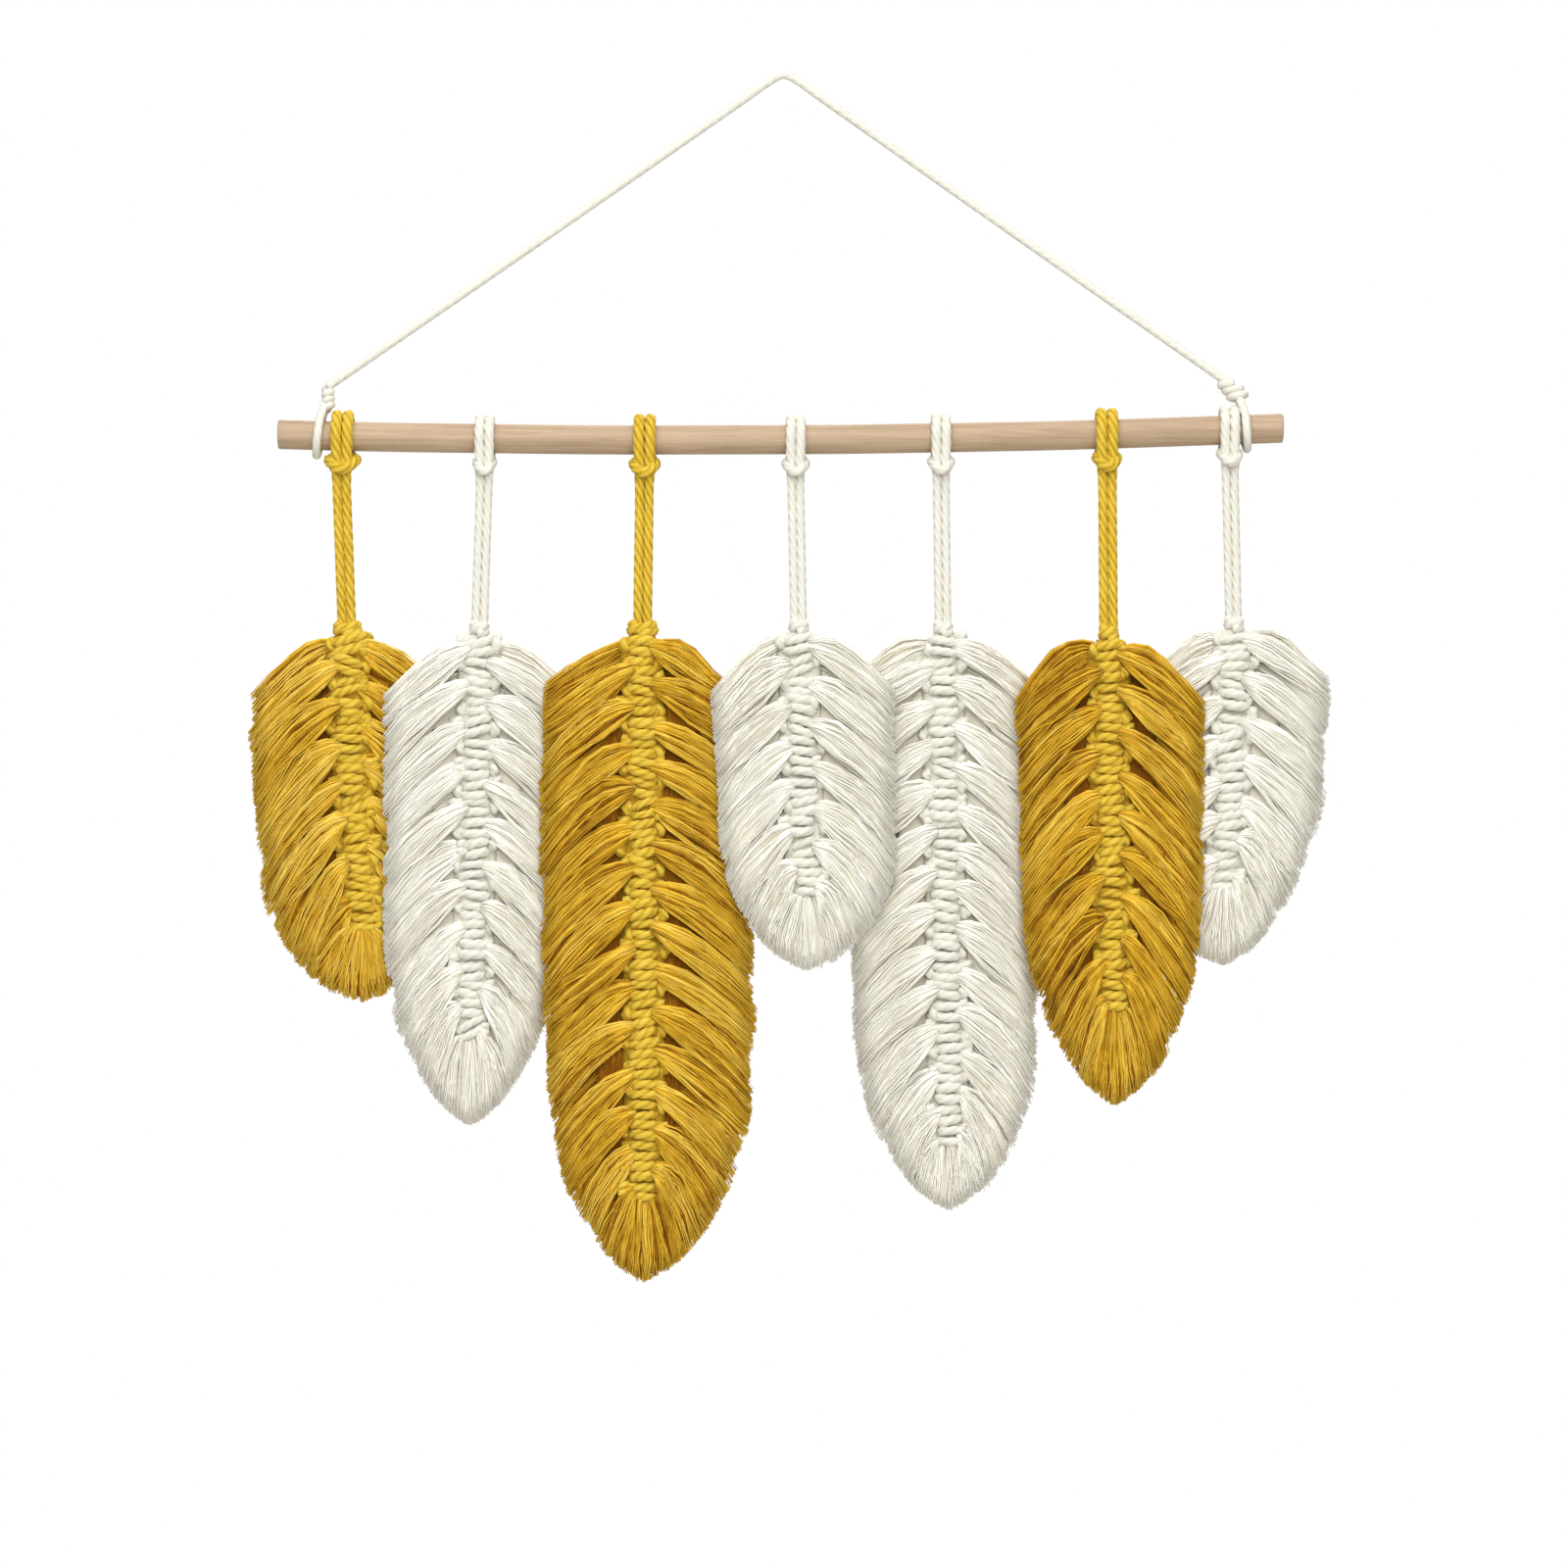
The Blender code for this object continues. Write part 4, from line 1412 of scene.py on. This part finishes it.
    def build_loop(self, rod: Rod) -> bpy.types.Object:
        """The cord of the loop, from the spine up over the rod, round its collar and back.

        The two runs lie side by side. Over the rod and in the collar the cord is slack, and
        a little thicker. The collar hangs in front like a smile, under the rod. The left
        half of the route is made first, and the right one is its mirror image. At its foot
        a helix of knot cord is wrapped round the runs.

        Args:
            rod: the rod that it goes over.

        Returns:
            The piece, in the place of the loop's node.
        """
        form = self.head
        cord = LOOP_CORDS[self.dye]
        rod_z = rod.height(self.rod_x)
        radius = rod.radius + form.gap + cord.radius
        slack_radius = form.slack * cord.radius
        top = np.array(self.top)
        pair = form.pair * cord.radius
        degrees = np.radians(np.linspace(*form.ring, form.ring_points))
        foot = top + (-pair, 0.0, form.foot_rise)
        hang = np.array([self.rod_x - pair, -radius + form.hang_back, rod_z - form.hang_down])
        ring = places(
            self.rod_x - form.slack_pair * form.slack * cord.radius,
            radius * np.cos(degrees), rod_z + radius * np.sin(degrees),
        )
        collar = np.array(form.collar)
        collar[:, 0] *= self.collar_width / 2 - slack_radius
        left = np.concatenate(
            [[foot, 0.5 * (foot + hang), hang], ring, collar + (self.rod_x, 0, rod_z)]
        )
        share = np.clip((left[:, 2] - top[2]) / (hang[2] - top[2]), 0, 1)
        middle = top[0] + (self.rod_x - top[0]) * share
        right = left.copy()
        right[:, 0] = 2 * middle - right[:, 0]
        front = np.array([[self.rod_x, form.smile[0], rod_z + form.smile[1]]])
        path = cord.route(np.concatenate([left, front, right[::-1]]), form.samples)
        raised = np.clip((path[:, 2] - rod_z + form.hang_down) / form.slack_over, 0, 1)
        squeeze = 1 + (form.slack - 1) * raised
        skin = Skin()
        cord.wind(skin, path[None], np.array([form.phase * self.number]), squeeze)

        turns = np.linspace(0, form.wraps, form.wrap_points)
        angle = 2 * math.pi * turns + form.wrap_from * math.pi
        wide = self.knot_width / 2 - KNOT_CORD.radius
        wide = wide * (form.wrap_wide - form.wrap_narrow * turns)
        rise = top[2] + form.wrap_foot + form.wrap_pitch * turns
        wrap = places(
            top[0] + wide * np.cos(angle),
            top[1] + form.wrap_depth * np.sin(angle),
            rise + form.wrap_slope * wide * np.cos(angle),
        )
        wrap = smooth_path(wrap, KNOT_CORD.stations(path_length(wrap)))
        KNOT_CORD.wind(skin, wrap[None], np.array([form.wrap_phase * self.number]))
        piece = skin.make(f"loop_{self.number}_cord", dressed(CORD_FINISH[self.dye]))
        settle(piece, [f"loop_{self.number}"])
        return piece


@dataclass
class Tie:
    """Knot of the hanging cord above the rod, and the sling that holds the rod, in mm."""

    name: str
    sling_x: float
    knot: tuple[float, float]       # x, and rise above the rod's centre line
    half_size: tuple[float, float]  # of the knot: across and up
    lean: float                     # how far the sling's top leans to the right
    slant: float                    # how much further right the knot's foot is than its top
    wraps: float = 2.6
    wrap_points: int = 32
    half_depth: float = 5.0         # of the knot
    gap: float = 0.3                # between the sling and the rod
    ring: tuple[float, float] = (130.0, 410.0)      # degrees, 0 behind the rod and 90 on top
    ring_points: int = 9
    entry: float = 0.62             # share of the way to the knot's middle where it enters ...
    entry_down: float = 0.35        # ... below that, as a share of the half height ...
    entry_deep: float = 1.2         # ... this far to the front and to the back
    samples: int = 200

    def build(self, rod: Rod) -> bpy.types.Object:
        """The sling, a ring open at its top, and the knot's wraps, a helix from foot to top.

        Args:
            rod: the rod that the sling goes round.

        Returns:
            The piece, in the place of the tie's node.
        """
        rod_z = rod.height(self.sling_x)
        radius = rod.radius + self.gap + HANGING.radius
        knot_x, rise = self.knot
        half_width, half_height = self.half_size
        entry_x = self.sling_x + self.entry * (knot_x - self.sling_x)
        entry_z = rod_z + rise - self.entry_down * half_height
        degrees = np.radians(np.linspace(*self.ring, self.ring_points))
        ring = places(
            self.sling_x + self.lean * np.sin(degrees),
            radius * np.cos(degrees), rod_z + radius * np.sin(degrees),
        )
        front, back = (entry_x, -self.entry_deep, entry_z), (entry_x, self.entry_deep, entry_z)
        path = HANGING.route(np.concatenate([[front], ring, [back]]), self.samples)
        skin = Skin()
        HANGING.wind(skin, path[None], np.zeros(1))

        turns = np.linspace(0, self.wraps, self.wrap_points)
        angle = 2 * math.pi * turns + 0.5 * math.pi
        inside = HANGING.radius
        sweep = 2 * turns / self.wraps - 1
        wrap = places(
            knot_x - 0.5 * self.slant * sweep + (half_width - inside) * np.cos(angle),
            (self.half_depth - inside) * np.sin(angle),
            rod_z + rise + (half_height - inside) * sweep,
        )
        wrap = smooth_path(wrap, HANGING.stations(path_length(wrap)))
        HANGING.wind(skin, wrap[None], np.zeros(1))
        piece = skin.make(f"{self.name}_cord", dressed(CORD_FINISH[Dye.CREAM]))
        settle(piece, [self.name])
        return piece


# ---------------------------------------------------------------------------------------
# Studio
# ---------------------------------------------------------------------------------------

@dataclass(frozen=True)
class SoftBox:
    """A square soft light. Its place and side are in metres, its power in watts."""

    name: str
    place: tuple[float, float, float]
    side: float
    power: float

    def build(self, aim: tuple[float, float, float]) -> None:
        """Put the light up so that it faces a place.

        Args:
            aim: the place, in metres.
        """
        lamp = bpy.data.lights.new(self.name, "AREA")
        lamp.shape = "SQUARE"
        lamp.size = self.side
        lamp.energy = self.power
        light = add_object(self.name, lamp)
        light.location = self.place
        way = np.array(aim) - np.array(self.place)
        level = math.hypot(way[0], way[1])
        light.rotation_euler = (
            math.atan2(level, -way[2]), 0.0, math.atan2(way[1], way[0]) - math.pi / 2
        )


@dataclass
class Studio:
    """Camera square to the hanging, soft light from above, in front and behind, and a floor.

    Lengths are in metres.
    """

    view_width: float = 0.8         # width of the view at the hanging
    view_middle: float = -0.3595
    distance: float = 3.0
    sensor: float = 36.0            # mm
    floor_z: float = -1.7
    floor_side: float = 4.4
    floor_colour: str = "#D8D5CE"
    floor_roughness: float = 0.9
    sky: float = 0.7                # light from overhead ...
    sky_from: float = 0.8           # ... from this sine of the height in the sky up ...
    ground: float = 0.06            # ... and from below ...
    ground_from: float = -0.6       # ... from this one down
    lights: tuple[SoftBox, ...] = (
        SoftBox("key", (-0.5, -1.6, 1.9), 2.2, 40.0),
        SoftBox("fill", (0.25, -3.1, 0.6), 2.8, 80.0),
        SoftBox("back", (0.3, 2.4, 1.0), 2.0, 60.0),
    )

    def build_camera(self) -> None:
        """The camera, at the height of the view's middle."""
        lens = bpy.data.cameras.new("camera")
        lens.sensor_width = self.sensor
        lens.lens = self.sensor * self.distance / self.view_width
        camera = add_object("camera", lens)
        camera.location = (0, -self.distance, self.view_middle)
        camera.rotation_euler = (math.pi / 2, 0, 0)
        bpy.context.scene.camera = camera

    def build_world(self) -> None:
        """Light from all round, stronger from above, and plain white for the camera."""
        world = bpy.data.worlds.new("studio")
        world.use_nodes = True
        tree = world.node_tree
        tree.nodes.clear()
        path = add_node(tree, "LightPath")
        way = add_node(tree, "TexCoord")
        parts = add_node(tree, "SeparateXYZ", {0: way.outputs["Generated"]})
        level = add_node(
            tree, "MapRange",
            {
                "Value": parts.outputs["Z"], "From Min": self.ground_from,
                "From Max": self.sky_from, "To Min": self.ground, "To Max": self.sky,
            },
        )
        white = linear("#FFFFFF")
        soft = add_node(
            tree, "Background", {"Color": white, "Strength": level.outputs["Result"]}
        )
        seen = add_node(tree, "Background", {"Color": white, "Strength": 1.0})
        both = add_node(
            tree, "MixShader",
            {
                0: path.outputs["Is Camera Ray"],
                1: soft.outputs["Background"],
                2: seen.outputs["Background"],
            },
        )
        add_node(tree, "OutputWorld", {"Surface": both.outputs["Shader"]})
        bpy.context.scene.world = world
        bpy.context.scene.view_settings.view_transform = "Standard"

    def build_floor(self) -> None:
        """The floor: one square under the hanging, in pale matt paint."""
        half = self.floor_side / 2
        corners = [(-half, -half), (half, -half), (half, half), (-half, half)]
        mesh = bpy.data.meshes.new("floor")
        mesh.from_pydata([(*corner, self.floor_z) for corner in corners], [], [(0, 1, 2, 3)])
        paint, tree = blank_material("pale_floor")
        shader = add_node(
            tree, "BsdfPrincipled",
            {"Base Color": linear(self.floor_colour), "Roughness": self.floor_roughness},
        )
        add_node(tree, "OutputMaterial", {"Surface": shader.outputs["BSDF"]})
        mesh.materials.append(paint)
        add_object("floor", mesh)

    def build(self) -> None:
        """Lights, world and floor."""
        for light in self.lights:
            light.build((0.0, 0.0, self.view_middle))
        self.build_world()
        self.build_floor()


# number, dye, place along the rod and top of the spine; drift, rows of knots, length of the
# spine and of the tuft; left and right half width, left and right bend, right and left taper
FEATHERS = (
    Feather(
        1, Dye.MUSTARD, -225.0, (-222.5, -4.5, -284.5), 8.0, 15, 150, 36, 50.5, 48, 0, 8, (80, 56),
        crown=(0.5, 2.0), knot_width=16.5, collar_width=19.5, loose=0.6, shade=0.15,
        press=(0.4, 1.0), hang=1.36,
    ),
    Feather(
        2, Dye.CREAM, -152.5, (-155.0, -8.0, -284.5), -5.0, 20, 205, 44, 45.5, 46, -6, 4, (98, 98),
        first_side=-1, crown=(1.5, 2.0), collar_width=13.0, painted_neck_shade=0.4, press=(0.8, 0.8),
    ),
    Feather(
        3, Dye.MUSTARD, -71.0, (-72.0, -9.5, -284.5), 1.0, 28, 287, 41, 51, 57, -4, 4, (100, 100),
        first_length=0.75, crown=(3.5, 0.2), knot_width=17.5, collar_width=17.0, loose=0.55,
    ),
    Feather(
        4, Dye.CREAM, 6.0, (7.5, -11.5, -283.5), 4.0, 13, 134, 37, 44, 47, -4, -4, (62, 62),
        collar_width=15.0, painted_neck_shade=0.4, press=(0.8, 0.8),
    ),
    Feather(
        5, Dye.CREAM, 80.0, (81.0, -7.0, -284.5), 3.0, 25, 258, 34, 49, 47, 4, 4, (84, 84),
        crown=(1.5, 2.0), collar_width=14.5, painted_neck_shade=0.4, press=(0.8, 0.8),
    ),
    Feather(
        6, Dye.MUSTARD, 164.5, (165.0, -11.0, -287.0), 3.0, 18, 188, 48, 47, 46.5, -4, -4,
        (100, 100), crown=(3.0, 3.0), collar_width=16.0, loose=0.8, shade=-0.05, hang=1.2,
    ),
    Feather(
        7, Dye.CREAM, 227.0, (229.0, -6.0, -282.0), -5.0, 13, 132, 38, 46, 49, 4, 0, (95, 45),
        crown=(3.5, 2.0), collar_width=14.0, painted_neck_shade=0.4, press=(0.8, 0.8),
    ),
)
TIES = (
    Tie("tie_left", -237.2, (-232.5, 18.6), (3.6, 7.4), lean=1.2, slant=0.6, wraps=3.2),
    Tie("tie_right", 235.3, (229.4, 19.7), (6.6, 6.2), lean=-0.9, slant=6.0),
)


def main() -> None:
    """Build the camera and the cord first, then the other pieces and the studio."""
    logging.basicConfig(level=logging.INFO, format="%(message)s")
    studio = Studio()
    studio.build_camera()
    report(HangingCord().build())
    rod = Rod()
    report(rod.build())
    for tie in TIES:
        report(tie.build(rod))
    for feather in FEATHERS:
        report(feather.build_loop(rod))
        report(feather.build_spine())
        report(feather.build_wings())
    studio.build()


if __name__ == "__main__":
    main()
